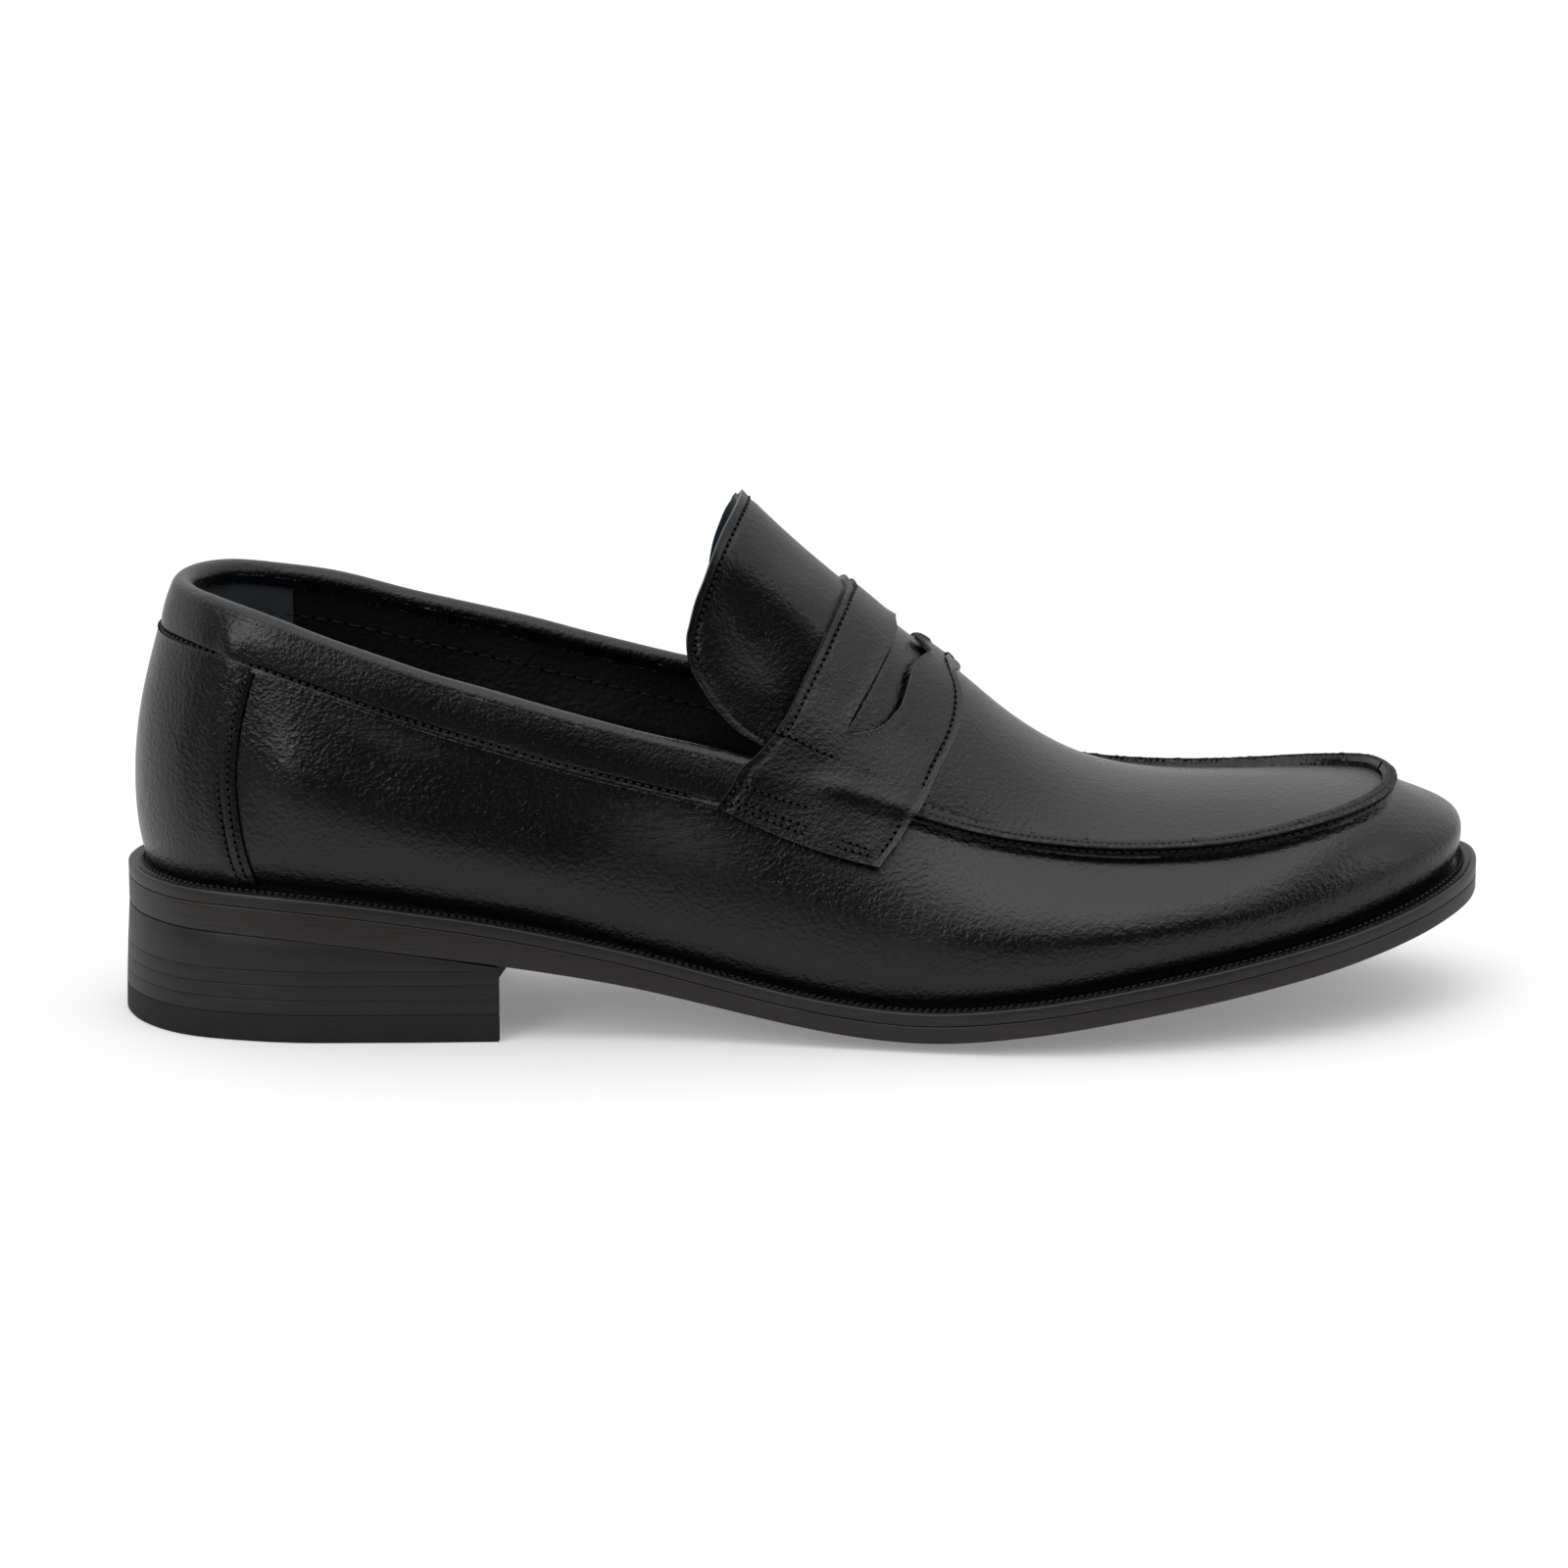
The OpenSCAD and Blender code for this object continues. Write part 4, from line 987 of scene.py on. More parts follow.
toe_g = np.concatenate([np.linspace(float(g_outer(165)), 0.93, 120), np.linspace(0.932, 0.99, 30)])
toe_s = ring_station(toe_g)
toe_inner_g = g_inner(toe_s)
toe_v = np.linspace(0.04, 0.92, 40)[:, None]
toe_q = np.linspace(-0.92, 0.92, 70)[:, None]
over = dome_at(toe_s[None] + 0 * toe_q, toe_q)
over_n = facing(over)


def vamp_layer(off):
    return np.concatenate([side_at(toe_v, toe_g, off), over + over_n * off,
                           side_at(toe_v[::-1], toe_inner_g, off)])


sheet("lining_vamp", vamp_layer(LAYER_LINING), vamp_layer(LINING_IN), M_LINING, edge=0,
      node="vamp_lining", slot="lining_leather")

# ---- saddle strap ----
# rows across, and columns behind and before the slot
NP, NA, NB = 620, 26, 30
SPLIT = 0.42
p = np.linspace(-1, 1, NP)


def strap_end(t):
    """How far down the side the strap reaches, from its rear to its front corner."""
    return 1.355 + 0.29 * t - 0.187 * t**2


def strap_s(t, q, front_half):
    """Station of the strap's column t at q; the slot parts the columns at SPLIT."""
    rear, fore = strap_rear(q), strap_front(q)
    notch = 2.2 * bell(q, 0, 0.07) * smoothstep(0.85, 1.0, t)
    tip_rear, tip_fore = strap_rear(SLOT_TIP), strap_front(SLOT_TIP)
    tip_frac = (slot_rear(SLOT_TIP) - tip_rear) / (tip_fore - tip_rear)
    frac = tip_frac + (SPLIT - tip_frac) * smoothstep(SLOT_TIP, 1.15, np.abs(q))
    seam = rear + frac * (fore - rear)
    is_slot = np.abs(q) < SLOT_TIP
    a = np.where(is_slot, slot_rear(q), seam)
    beak = 4.5 * np.exp(-((np.abs(q) / 0.07) ** 4))
    b = np.where(is_slot, np.maximum(slot_fore(q) - beak, a + 0.02), seam)
    low = rear + (a - rear) * np.clip(t / SPLIT, 0, 1)
    high = b + (fore - b) * np.clip((t - SPLIT) / (1 - SPLIT), 0, 1)
    return np.where(front_half, high, low) + notch


t_all = np.concatenate([np.linspace(0, SPLIT, NA), np.linspace(SPLIT, 1, NB)])
fore_half = np.concatenate([np.zeros(NA, bool), np.ones(NB, bool)])
Q = p[:, None] * strap_end(t_all)[None]
S = strap_s(t_all[None], Q, fore_half[None])
P = skin(S, Q)
P = np.concatenate([blur(P[:, :NA], 7, 0), blur(P[:, NA:], 7, 0)], 1)


def half_normals(P):
    """Normals of the parts behind and before the slot."""
    return np.concatenate([facing(P[:, :NA]), facing(P[:, NA:])], 1)


def strap_rise(q):
    """Height of the strap's underside over the upper."""
    return 0.4 + 1.25 * smoothstep(0.72, 0.95, np.abs(q))


N = half_normals(P)
is_open = np.abs(Q[:, NA]) < SLOT_TIP
shut = ~is_open
avg = unit(N[shut, NA - 1] + N[shut, NA])
N[shut, NA - 1] = N[shut, NA] = avg
below = (np.abs(Q) - 1) * SIDE_RUN
ridge = 0.9 * bell(below, 1.0, 2.6) * smoothstep(0.35, 0.6, t_all)[None]
ridge += 0.35 * bell(below, 3.0, 5.0)
height = strap_rise(Q) + ridge
lip = 0.35 * bell((t_all - SPLIT) * 32, 0, 1.5)[None]
height = height + lip * (1 - smoothstep(0.74, 0.9, np.abs(Q)))
edge_mm = np.minimum(t_all, 1 - t_all)[None] * 40
pull = -0.22 * bell(edge_mm, 1.9, 0.9)
soft = lumps(P, 20, 0.14, 31)
A = P + N * (height + LEATHER + pull + soft)[..., None]
B = P + N * (height + soft * 0.5)[..., None]
sheet("strap_saddle", A, B, M_STRAP, edge=0.32, skip=(NA - 1, is_open),
      node="saddle_strap", slot="strap_leather")


# the raw edge of the slot as a thin line of pale cut leather: partly the cut edge's own colour,
# partly a painted highlight
lip_n = N[is_open, NA]
lip_at = A[is_open, NA] - lip_n * 0.28
lip_side = unit(np.cross(lip_n, unit(np.gradient(lip_at, axis=0))))
count = np.arange(len(lip_at))
radius = 0.3 * np.minimum(1, 0.2 + np.minimum(count, count[::-1]) / 6)[None, :, None]
a = (np.arange(8) / 8 * 2 * np.pi)[:, None, None]
rope("strap_slot_edge", lip_at[None] + (np.cos(a) * lip_side + np.sin(a) * lip_n) * radius,
     M_CUT_HIGHLIGHT, "strap_leather")


def strap_surface(s, q):
    """Point and normal on top of the strap."""
    n = skin_normal(s, q)
    r = 0.35 * bell((np.abs(q) - 1) * SIDE_RUN, 3.0, 5.0)
    return skin(s, q) + n * (strap_rise(q) + r + LEATHER)[..., None], n


# ---- tongue ----
# its free edge, from the outer corner at the strap over the tip to the inner corner
TONGUE_RIM = np.array([
    (141.9, -0.957), (139.3, -0.952), (136.5, -0.943), (133.8, -0.926), (131.2, -0.905),
    (128.3, -0.871), (127.0, -0.85), (126.5, -0.822), (126.4, -0.792), (127.0, -0.759),
    (128.0, -0.704), (129.6, -0.634), (131.3, -0.539), (133.3, -0.423), (135.3, -0.29),
    (136.6, -0.15), (137.2, 0.0), (137.0, 0.15), (136.0, 0.329), (134.4, 0.452),
    (132.9, 0.555), (131.4, 0.65), (130.6, 0.72), (130.2, 0.79), (130.6, 0.85),
    (132.3, 0.9), (135.5, 0.935), (138.5, 0.949), (141.9, 0.957),
])
ACROSS_MM = 32.0
rim_len = run_length(TONGUE_RIM * (1, ACROSS_MM))


def tongue_tuck(q):
    """How far the tongue's sides lie inside the lining."""
    return (LINING_IN - 2 * GAP - BINDING - 0.4) * smoothstep(0.5, 0.88, np.abs(q))


def tongue_rim(u, inward=0.0):
    """Station and place across of the free edge, or of a line that far inside it."""
    L = np.asarray(u, float) * rim_len[-1]
    at = hermite(rim_len, TONGUE_RIM, L)
    ahead = hermite(rim_len, TONGUE_RIM, L + 0.3) - hermite(rim_len, TONGUE_RIM, L - 0.3)
    along_s, along_q = ahead[..., 0], ahead[..., 1] * ACROSS_MM
    size = np.maximum(np.hypot(along_s, along_q), 1e-9)
    return at[..., 0] + inward * along_q / size, at[..., 1] - inward * along_s / size / ACROSS_MM


def tongue_places(inward, ahead, q_end, rows, cols):
    s0, q0 = tongue_rim(np.linspace(0, 1, rows)[:, None], inward)
    t = np.linspace(0, 1, cols)[None]
    q1 = np.linspace(-q_end, q_end, rows)[:, None]
    s1 = strap_rear(q1) + ahead * (1 - smoothstep(0.8, 0.95, np.abs(q1)))
    q0 = np.clip(q0, -q_end, q_end)
    s0 = np.minimum(s0, s1 - 0.6)
    return s0 * (1 - t) + s1 * t, q0 * (1 - t) + q1 * t


def tongue_soft(s, q):
    """Folds that the standing leather has taken."""
    return (0.7 * bell(q, -0.44, 0.12) * bell(s, 146, 11)
            - 1.3 * bell(q, -0.66, 0.11) * bell(s, 140.5, 7.5)
            + 0.6 * bell(q, -0.83, 0.07) * bell(s, 139, 8)
            + 0.4 * bell(q, 0.3, 0.2) * bell(s, 148, 8))


S, Q = tongue_places(0.0, 5.0, 0.957, 300, 130)
P = skin(S, Q)
N = facing(P)
rim_mm = np.hypot(S - S[:, :1], (Q - Q[:, :1]) * ACROSS_MM)
pull = -0.25 * bell(rim_mm, 1.9, 0.8)
soft = lumps(P, 24, 0.22, 41) + tongue_soft(S, Q)
off = tongue_tuck(Q) + soft * smoothstep(0, 5, rim_mm) + pull
A = P + N * off[..., None]
B = P + N * (off - LEATHER)[..., None]
tongue_piece = sheet("tongue_leather", A, B, M_TONGUE, edge=0.32, node="tongue",
                     slot="tongue_leather", body=None)
# the lining shows past the leather only along the inner half of the edge
inward = 0.3 - 0.75 * smoothstep(0.5, 0.6, np.linspace(0, 1, 180)[:, None])
under_s, under_q = tongue_places(inward, 3.0, 0.95, 180, 80)
under = skin(under_s, under_q)
under_n = facing(under)
under_rim = np.hypot(under_s - under_s[:, :1], (under_q - under_q[:, :1]) * ACROSS_MM)
hollow = np.minimum(tongue_soft(under_s, under_q), 0) * smoothstep(0, 5, under_rim)
under_off = tongue_tuck(under_q) + hollow - LEATHER - 0.3
under_top = under + under_n * under_off[..., None]
under_base = under + under_n * (under_off - LINING)[..., None]
tongue_under = sheet("tongue_suede_lining", under_top, under_base, M_TEAL, edge=0.2,
                     node="tongue_lining", slot="tongue_lining", body=None)


def tongue_surface(s, q):
    """Point and normal on the outside of the tongue."""
    n = skin_normal(s, q)
    return skin(s, q) + n * (tongue_tuck(q) - 0.12)[..., None], n


hem = tongue_surface(*tongue_rim(np.linspace(0.02, 0.98, 900), 1.55))
tongue_thread = stitches("stitch_tongue", [resample(*hem, 1.6)], 0.2, 0.2, 0.08,
                         node="thread_tongue", body=None)
for piece in (tongue_piece, tongue_under, tongue_thread):
    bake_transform(piece)

# ---- stitch rows ----
PITCH = 1.7
collar_g = np.linspace(-float(2 - g_inner(131)), float(g_outer(127)), 1500)
inner_row = edge_at(11.4, collar_g, LINING_IN - 0.1)
inward = unit(edge_at(11.4, collar_g, LINING_IN - 1.1) - inner_row)
stitches("stitch_collar", [side_run(11.4, collar_g, o_out - 0.05, 1.9),
                           resample(inner_row, inward, 3.8)], 0.2, 0.2, 0.1,
         node="thread_collar")
runs = []
for side in (-1, 1):
    for back in (1.2, 3.4):
        v = np.linspace(0.03, 0.9, 300)
        g = cover_g(np.full(300, side), v, back)
        keep = sample(arc, v * (NV - 1), g) > COLLAR_W + 1
        runs.append(side_run(v[keep], g[keep], GAP + LEATHER - 0.1, PITCH, True))
stitches("stitch_heel_seam", runs, 0.2, 0.2, 0.06, node="thread_heel")


def strap_row(s, q):
    return resample(*strap_surface(s, q), PITCH)


def strap_path(points, side):
    """Row along straight lines between the points, on one side of the shoe."""
    pts = np.array(points)
    d = run_length(pts * (1, ACROSS_MM))
    x = np.linspace(0, d[-1], 60 * (len(pts) - 1))
    return strap_row(np.interp(x, d, pts[:, 0]), side * np.interp(x, d, pts[:, 1]))


# rows on the strap as stations and places across, the same on both sides
STRAP_ROWS = [
    [(143.9, 0.93), (147.8, 0.927), (153.1, 0.935), (158.5, 0.94), (164.3, 0.937)],
    [(164.3, 0.937), (163.4, 0.98), (159.8, 1.111), (157.2, 1.224)],
    [(157.2, 1.224), (151.5, 1.22), (144.4, 1.214), (136.8, 1.185)],
    [(136.8, 1.185), (135.1, 1.24), (134.3, 1.3)],
    [(133.6, 1.318), (142.2, 1.362), (151.6, 1.396), (159.9, 1.415), (166.0, 1.408)],
    [(136.5, 1.29), (140.9, 1.311), (148.0, 1.333), (157.5, 1.36), (165.5, 1.372)],
]
HEM = 1.5
q = np.linspace(-0.93, 0.93, 600)
runs = [strap_row(strap_rear(q) + HEM, q)]
for side in (-1, 1):
    runs += [strap_path(row, side) for row in STRAP_ROWS]
    q = side * np.linspace(0.05, 1.40, 500)
    runs.append(strap_row(strap_front(q) - HEM, q))
stitches("stitch_strap", runs, 0.21, 0.2, 0.06, node="thread_strap")

seam_g = np.linspace(g_outer(176), g_inner(176), 1600)
runs = [side_run(1.55, seam_g, 0.9, 2.0), side_run(0.05, seam_g, RIDGE_H + 0.1, 1.5)]
stitches("stitch_apron", runs, 0.2, 0.16, 0.06, node="thread_apron", hole_shade=0)

# ---- welt, outsole, heel ----
NW = 2400
rim_g = np.arange(NW) / NW * 2
rim_at, rim_out = ring(rim_g), out(rim_g)
rim_s = station(rim_at[:, 0])


def band(profile, z_of):
    """Rings of points at (inset, height) pairs around the outline."""
    rows = []
    for d, z in profile:
        xy = rim_at - rim_out * np.broadcast_to(d, NW)[:, None]
        rows.append(np.column_stack([xy, z_of(station(xy[:, 0])) + z]))
    return np.stack(rows)


wheel = 0.5 + 0.5 * np.cos(2 * np.pi * np.arange(NW) / NW * round(HALF_B / 1.7))
wheel = wheel**0.7
reach = (welt_show(rim_s) - 0.6) / 3.9


def rib(d):
    """Distances inside the rim, stretched where the welt shows more."""
    return 1.3 + (d - 1.3) * reach


welt_rows = [(14, -0.0), (9, -0.2), (rib(4.7), -0.3), (rib(4.2), -0.36),
             (rib(4.0), -0.42 + 0.1 * wheel), (rib(3.5), -0.38 + 0.42 * wheel),
             (rib(2.8), -0.34 + 0.48 * wheel), (rib(2.2), -0.36 + 0.42 * wheel),
             (rib(1.9), -0.4 + 0.1 * wheel), (rib(1.7), -0.34), (1.3, -0.06), (1.0, 0.03),
             (0.6, 0.02), (0.3, -0.07), (0.1, -0.24), (0.0, -0.5), (0.0, -1.6), (0.0, -2.6),
             (0.04, -2.82), (0.2, -2.93), (8, -2.95), (14, -2.95)]
W = band(welt_rows, edge_z)
# its inner edge hangs lower where the rim is lifted
for row, share in ((0, 0.5), (1, 0.175), (-2, 0.175), (-1, 0.5)):
    W[row, :, 2] -= edge_lift(rim_s) * share
ids = np.pad(numbered(W), ((0, 1), (0, 1)), mode="wrap")
make("welt_strip", W.reshape(-1, 3), quads(ids).tolist(), M_WELT, "welt", "welt_leather")
row = np.column_stack([rim_at - rim_out * rib(2.85)[:, None], edge_z(rim_s) + 0.06])
stitches("stitch_welt", [resample(row, np.tile([0.0, 0.0, 1.0], (NW, 1)), PITCH)],
         0.26, 0.16, 0.12, node="thread_welt", fill=0.8)


def lens(name, edge, inner, across, z_at, material, node, slot, columns=760):
    """Closed sheet inside the outline: a dressed edge, then rows across to the far side.
    edge holds (inset, part, height) from the top face over the rim to the bottom face,
    where part 1 is the top face and 0 the bottom one."""
    u = (1 - np.cos(np.linspace(0, np.pi, columns))) / 2
    sides = [(ring(g), out(g)) for g in (u, np.mod(2 - u, 2))]
    whole = np.maximum(np.linalg.norm(sides[0][0] - sides[1][0], axis=1), 1e-6)

    def at(side, d):
        o, n = sides[side]
        return o - n * d

    def row(xy, share, part, dz):
        return np.column_stack([xy, z_at(station(xy[:, 0]), share, part) + dz])

    def inside(part, q):
        a, b = at(0, inner), at(1, inner)
        m = q * np.linalg.norm(a - b, axis=1) / whole
        return row(a * (1 - q) / 2 + b * (1 + q) / 2, m * m, part, 0.0)

    rows = [row(at(0, d), 1.0, part, dz) for d, part, dz in edge]
    rows += [inside(0, q) for q in across]
    rows += [row(at(1, d), 1.0, part, dz) for d, part, dz in edge[::-1]]
    rows += [inside(1, q) for q in across[::-1]]
    G = np.stack(rows)
    for end in (0, -1):
        G[:, end] = (G[:, end] + G[::-1, end]) / 2
    ids = numbered(G)
    seal(make(name, G.reshape(-1, 3), quads(np.concatenate([ids, ids[:1]]), True).tolist(),
              material, node, slot), 0.02)


def seal(obj, distance):
    """Join the points that meet at the ends of a lens and close what is left open."""
    bm = bmesh.new()
    bm.from_mesh(obj.data)
    bmesh.ops.remove_doubles(bm, verts=bm.verts, dist=distance * MM)
    bmesh.ops.dissolve_degenerate(bm, edges=bm.edges, dist=1e-6)
    holes = [e for e in bm.edges if e.is_boundary]
    if holes:
        bmesh.ops.holes_fill(bm, edges=holes, sides=0)
    bmesh.ops.recalc_face_normals(bm, faces=bm.faces)
    loose = [v for v in bm.verts if not v.link_faces]
    bmesh.ops.delete(bm, geom=loose, context="VERTS")
    bm.to_mesh(obj.data)
    bm.free()
    obj.data.polygons.foreach_set("use_smooth", [True] * len(obj.data.polygons))


def sole_z(s, share, part):
    """Height of the sole's top face (part 1) or bottom face (part 0)."""
    under = edge_lift(s) * share - WELT_T
    return top_z(s) + under - np.where(part, 0.0, sole_cut(s))


SOLE_EDGE = [(2.0, 1, -0.05), (1.1, 1, -0.05), (0.4, 1, -0.06), (0.16, 1, -0.08),
             (0.04, 1, -0.18), (0.0, 1, -0.4), (0.0, 0, 1.2), (0.04, 0, 0.45),
             (0.14, 0, 0.18), (0.36, 0, 0.06), (1.0, 0, 0.01), (2.4, 0, 0.0)]
ACROSS = np.linspace(-0.97, 0.97, 25)
lens("sole_leather", SOLE_EDGE, 3.2, ACROSS, sole_z, M_SOLE, "outsole", "outsole_leather")

# heel block: the outline behind a curved breast line
HEEL_END, BREAST_R, BREAST_SAG = 84.0, 155.0, 3.0


def heel_plan(inset=0.0):
    """Outline of the heel seen from above, round the back and then along the breast."""
    g = np.linspace(-1, 1, 4001)
    o = ring(np.mod(g, 2)) - out(np.mod(g, 2)) * inset
    cx = (HEEL_END - SEAT_X - BREAST_SAG) * KX + BREAST_R
    keep = np.hypot(o[:, 0] - cx, o[:, 1]) >= BREAST_R + inset
    keep &= station(o[:, 0]) < HEEL_END + 6
    side = o[keep]
    a, b = side[0], side[-1]
    w = np.linspace(math.atan2(b[1], b[0] - cx) + 2 * math.pi, math.atan2(a[1], a[0] - cx),
                    70)[1:-1]
    r = BREAST_R + inset
    breast = np.stack([cx + r * np.cos(w), r * np.sin(w)], 1)
    L = run_length(side)
    x = np.linspace(0, L[-1], 420)
    side = np.stack([np.interp(x, L, side[:, k]) for k in (0, 1)], 1)
    return np.concatenate([side, breast])


def seat_bottom(xy):
    """Height of the sole's underside."""
    s = station(xy[:, 0])
    return top_z(s) - WELT_T - sole_cut(s)


def block(name, levels, material, node, slot, top=()):
    """Heel piece as stacked rings: (inset, height) pairs, the last from the seat's curve."""
    rows = []
    for d, z in levels:
        xy = heel_plan(d)
        # the back of the heel runs out a little towards the ground
        flare = np.interp(z, [0, 8, 26], [1.1, 0.9, 0])
        xy[:, 0] -= flare * (1 - smoothstep(2, 45, station(xy[:, 0])))
        rows.append(np.column_stack([xy, np.full(len(xy), float(z))]))
    for d, dz in top:
        xy = heel_plan(d)
        z = np.maximum(seat_bottom(xy) + dz, levels[-1][1] + 0.02)
        rows.append(np.column_stack([xy, z]))
    rows = np.stack(rows)
    ids = numbered(rows)
    faces = quads(np.concatenate([ids, ids[:, :1]], 1), True).tolist()
    faces += [ids[0].tolist(), ids[-1, ::-1].tolist()]
    return make(name, rows.reshape(-1, 3), faces, material, node, slot)


def lower_edge(z):
    return [(3, z), (0.1, z), (0.02, z + 0.03), (0, z + 0.08)]


for k, (lo, hi) in enumerate(LIFTS, 1):
    top_z_mm = hi.z / MM
    levels = lower_edge(lo.z / MM)
    levels += [(0, top_z_mm - 0.08), (0.02, top_z_mm - 0.03), (0.1, top_z_mm), (3, top_z_mm)]
    block("heel_stack_lift_%d" % k, levels, M_STACK, "heel_lift_%d" % k, "lift_leather")
block("heel_stack_wedge", lower_edge(LIFTS[2][1].z / MM + 0.075), M_STACK, "heel_wedge",
      "lift_leather", top=[(0, -0.2), (0.04, -0.12), (0.14, -0.08), (6.0, -0.08)])
heel_rubber = block("heel_top_piece",
                    [(3, 0.0), (0.9, 0.0), (0.25, 0.1), (0.05, 0.35), (0, 0.8),
                     (0, TOP_PIECE - 0.3), (0.08, TOP_PIECE - 0.08), (0.3, TOP_PIECE),
                     (3, TOP_PIECE)], M_RUBBER, "top_piece", "top_rubber")


def bore_recesses():
    """Countersinks for the nails that hold the top piece."""
    bm = bmesh.new()
    points = np.array([v.co[:2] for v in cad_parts["heel_nails"].data.vertices])
    centres = []
    for p in points:
        if all(np.linalg.norm(p - c) >= 6 * MM for c in centres):
            nail = points[np.linalg.norm(points - p, axis=1) < 6 * MM]
            centres.append((nail.min(0) + nail.max(0)) / 2)
    for x, y in centres:
        made = bmesh.ops.create_cone(bm, cap_ends=True, segments=32, radius1=2.3 * MM,
                                     radius2=2.1 * MM, depth=4.2 * MM)
        bmesh.ops.translate(bm, verts=made["verts"], vec=(x, y, 0.0))
    mesh = bpy.data.meshes.new("nail_cutter")
    bm.to_mesh(mesh)
    bm.free()
    cutter = bpy.data.objects.new("nail_cutter", mesh)
    bpy.context.scene.collection.objects.link(cutter)
    m = heel_rubber.modifiers.new("recess", "BOOLEAN")
    m.operation, m.object, m.solver = "DIFFERENCE", cutter, "EXACT"
    bpy.context.view_layer.update()
    shape = bpy.data.meshes.new_from_object(
        heel_rubber.evaluated_get(bpy.context.evaluated_depsgraph_get()))
    heel_rubber.modifiers.remove(m)
    heel_rubber.data = shape
    bpy.data.objects.remove(cutter)


bore_recesses()

# ---- sock liner ----
SOCK_IN = 5.2


def sock_z(s, share, part):
    """The sock liner lies on the insole and the lining, and is 1 mm thick."""
    return top_z(s) + edge_lift(s) * share + 4 * GAP + 2.4 + 1.6 + np.where(part, 1.0, 0.0)


def sock_edge():
    show = float(welt_show(150)) + SOCK_IN
    return [(show + 1.6, 1, 0.05), (show + 0.8, 1, 0.12), (show + 0.3, 1, 0.08),
            (show + 0.05, 1, -0.15), (show, 0, 0.35), (show + 0.1, 0, 0.12),
            (show + 0.5, 0, 0.0)]


lens("sock_leather", sock_edge(), 12.0, ACROSS, sock_z, M_SOCK, "sock_liner",
     "sock_leather", columns=420)

# ---- CAD nodes that stay: a procedural finish for each ----
KEPT = {"insole": M_BOARD, "shank": M_STEEL, "filler": M_CORK, "heel_pad": M_FOAM,
        "heel_nails": M_STEEL, "heel_counter": M_BOARD, "toe_puff": M_BOARD}
for name, material in KEPT.items():
    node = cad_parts[name]
    node.data.materials.clear()
    node.data.materials.append(material)

# ---- floor, light, camera ----
FLOOR_GLOW = 0.22
CEILING, WALL, WALL_RISE, ROOM = 1.6, 0.65, 0.75, 0.015


def floor_material():
    """Pale sweep; towards the camera its far part is out of the light for reflections."""
    n = Nodes("pale_floor")
    tone = n.noise(3, 2)
    pale = n.mix(tone, (0.86, 0.86, 0.86), (0.9, 0.9, 0.9))
    y = n.axes(n.add("ShaderNodeNewGeometry").outputs["Position"])[1]
    lit = n.ramp(n.times(n.plus(y, 0.24), 6.0, True), [(0.3, 0.08), (1.0, 1.0)])
    dim = n.mix(lit, (0.012, 0.012, 0.012), (0.72, 0.72, 0.72))
    seen = n.add("ShaderNodeLightPath").outputs["Is Camera Ray"]
    return n.finish(n.mix(seen, dim, pale), 0.9, Emission_Color=(1.0, 1.0, 1.0),
                    Emission_Strength=n.times(seen, FLOOR_GLOW))


bpy.ops.mesh.primitive_plane_add(size=14, location=(0.1, 3.0, 0))
floor = bpy.context.object
floor.name = "floor"
floor.data.materials.append(floor_material())


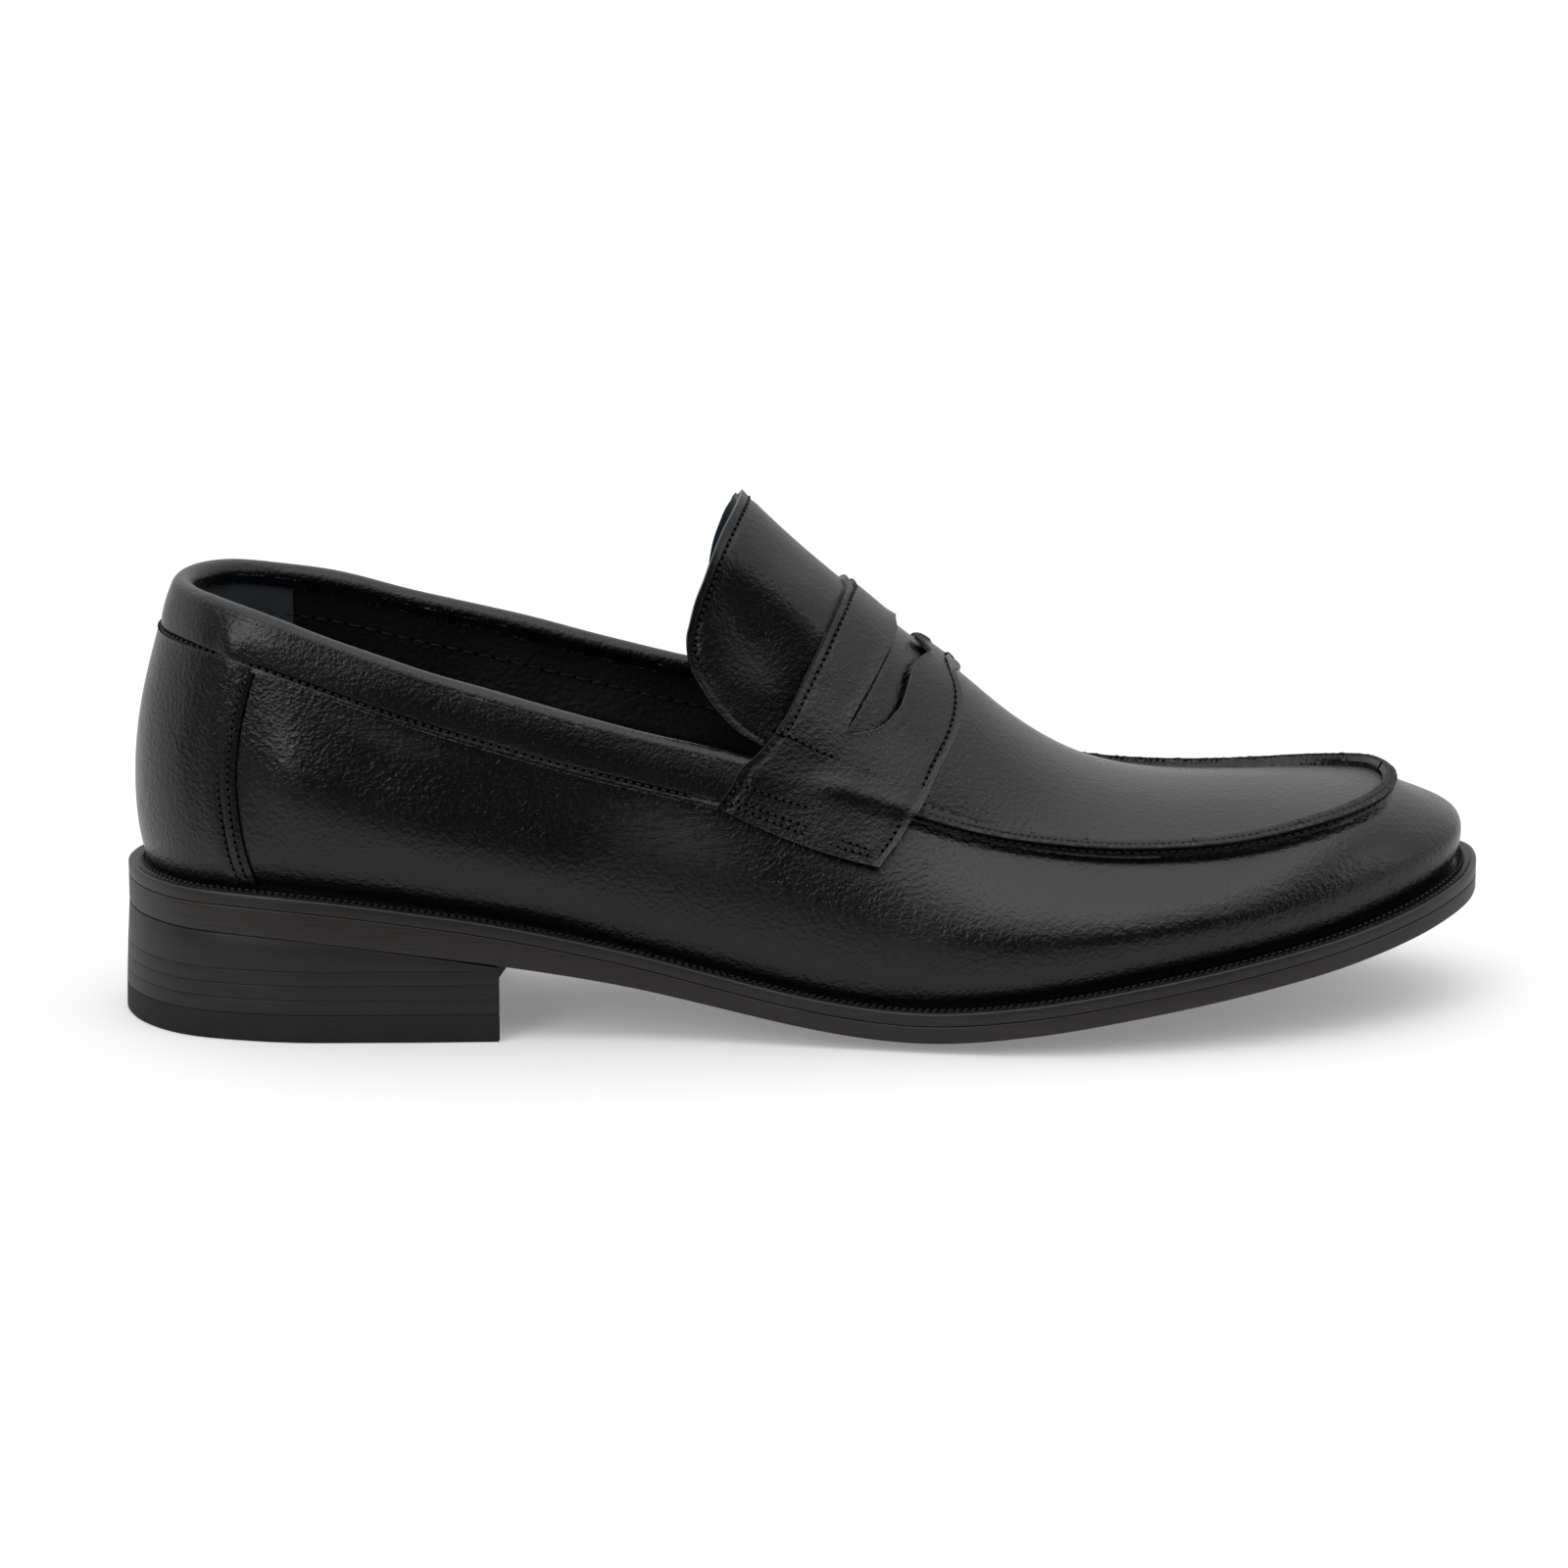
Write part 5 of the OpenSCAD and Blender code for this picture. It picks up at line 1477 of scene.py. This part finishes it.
def studio_world():
    """Bright ceiling and white sweep behind and beside, a dark room behind the camera."""
    world = bpy.data.worlds.new("studio")
    bpy.context.scene.world = world
    n = Nodes("studio", world)
    x, y, z = n.axes(n.add("ShaderNodeTexCoord").outputs["Generated"])

    def ease(value, low, high):
        m = n.add("ShaderNodeMapRange", interpolation_type="SMOOTHSTEP")
        for key, x in (("From Min", low), ("From Max", high), ("Value", value)):
            n.feed(m.inputs[key], x)
        return m.outputs[0]

    ceiling = n.times(ease(z, 0.25, 1.0), CEILING)
    wall = n.plus(WALL, n.times(n.math("MAXIMUM", z, 0.0), WALL_RISE))
    glow = n.math("MAXIMUM", ceiling, n.times(ease(y, -0.6, 0.3), wall))
    glow = n.math("MAXIMUM", glow, ROOM)
    pick = n.add("ShaderNodeMixShader")
    n.feed(pick.inputs[0], n.add("ShaderNodeLightPath").outputs["Is Camera Ray"])
    for k, strength in ((1, glow), (2, 1.1)):
        sky = n.add("ShaderNodeBackground")
        n.feed(sky.inputs["Strength"], strength)
        n.feed(pick.inputs[k], sky.outputs[0])
    n.feed(n.add("ShaderNodeOutputWorld").inputs[0], pick.outputs[0])


studio_world()


def softbox(name, at, target, size, glow):
    """Rectangular light whose face has the given radiance."""
    light = bpy.data.lights.new(name, "AREA")
    light.shape = "RECTANGLE"
    light.size, light.size_y = size
    light.energy = glow * math.pi * size[0] * size[1]
    obj = bpy.data.objects.new(name, light)
    obj.location = at
    obj.rotation_euler = (Vector(target) - Vector(at)).to_track_quat("-Z", "Y").to_euler()
    bpy.context.scene.collection.objects.link(obj)
    return obj


AIM = (0.11, 0.0, 0.05)
softbox("overhead", (0.25, -0.5, 1.35), AIM, (1.1, 0.7), 0.6)
softbox("left_box", (-0.58, -0.98, 0.58), AIM, (0.55, 0.6), 3.4)
softbox("right_box", (1.15, -0.40, 0.42), AIM, (0.5, 0.55), 1.4)

# the lens that shows the shoe as it is seen from 1.3 m away, a little above it
EYE_BACK, EYE_UP, AIM_X, AIM_Z, PX_PER_MM, FRAME_PX = 1300.0, 378.0, 113.2, 50.6, 4.556, 1600
camera_data = bpy.data.cameras.new("camera")
distance = math.hypot(EYE_BACK, EYE_UP - AIM_Z)
camera_data.sensor_width = 36.0
camera_data.lens = PX_PER_MM * distance * 36.0 / FRAME_PX
camera = bpy.data.objects.new("camera", camera_data)
camera.location = (AIM_X * MM, -EYE_BACK * MM, EYE_UP * MM)
look = Vector((AIM_X * MM, 0, AIM_Z * MM)) - camera.location
camera.rotation_euler = look.to_track_quat("-Z", "Y").to_euler()
bpy.context.scene.collection.objects.link(camera)
bpy.context.scene.camera = camera
bpy.context.scene.view_settings.view_transform = "Standard"
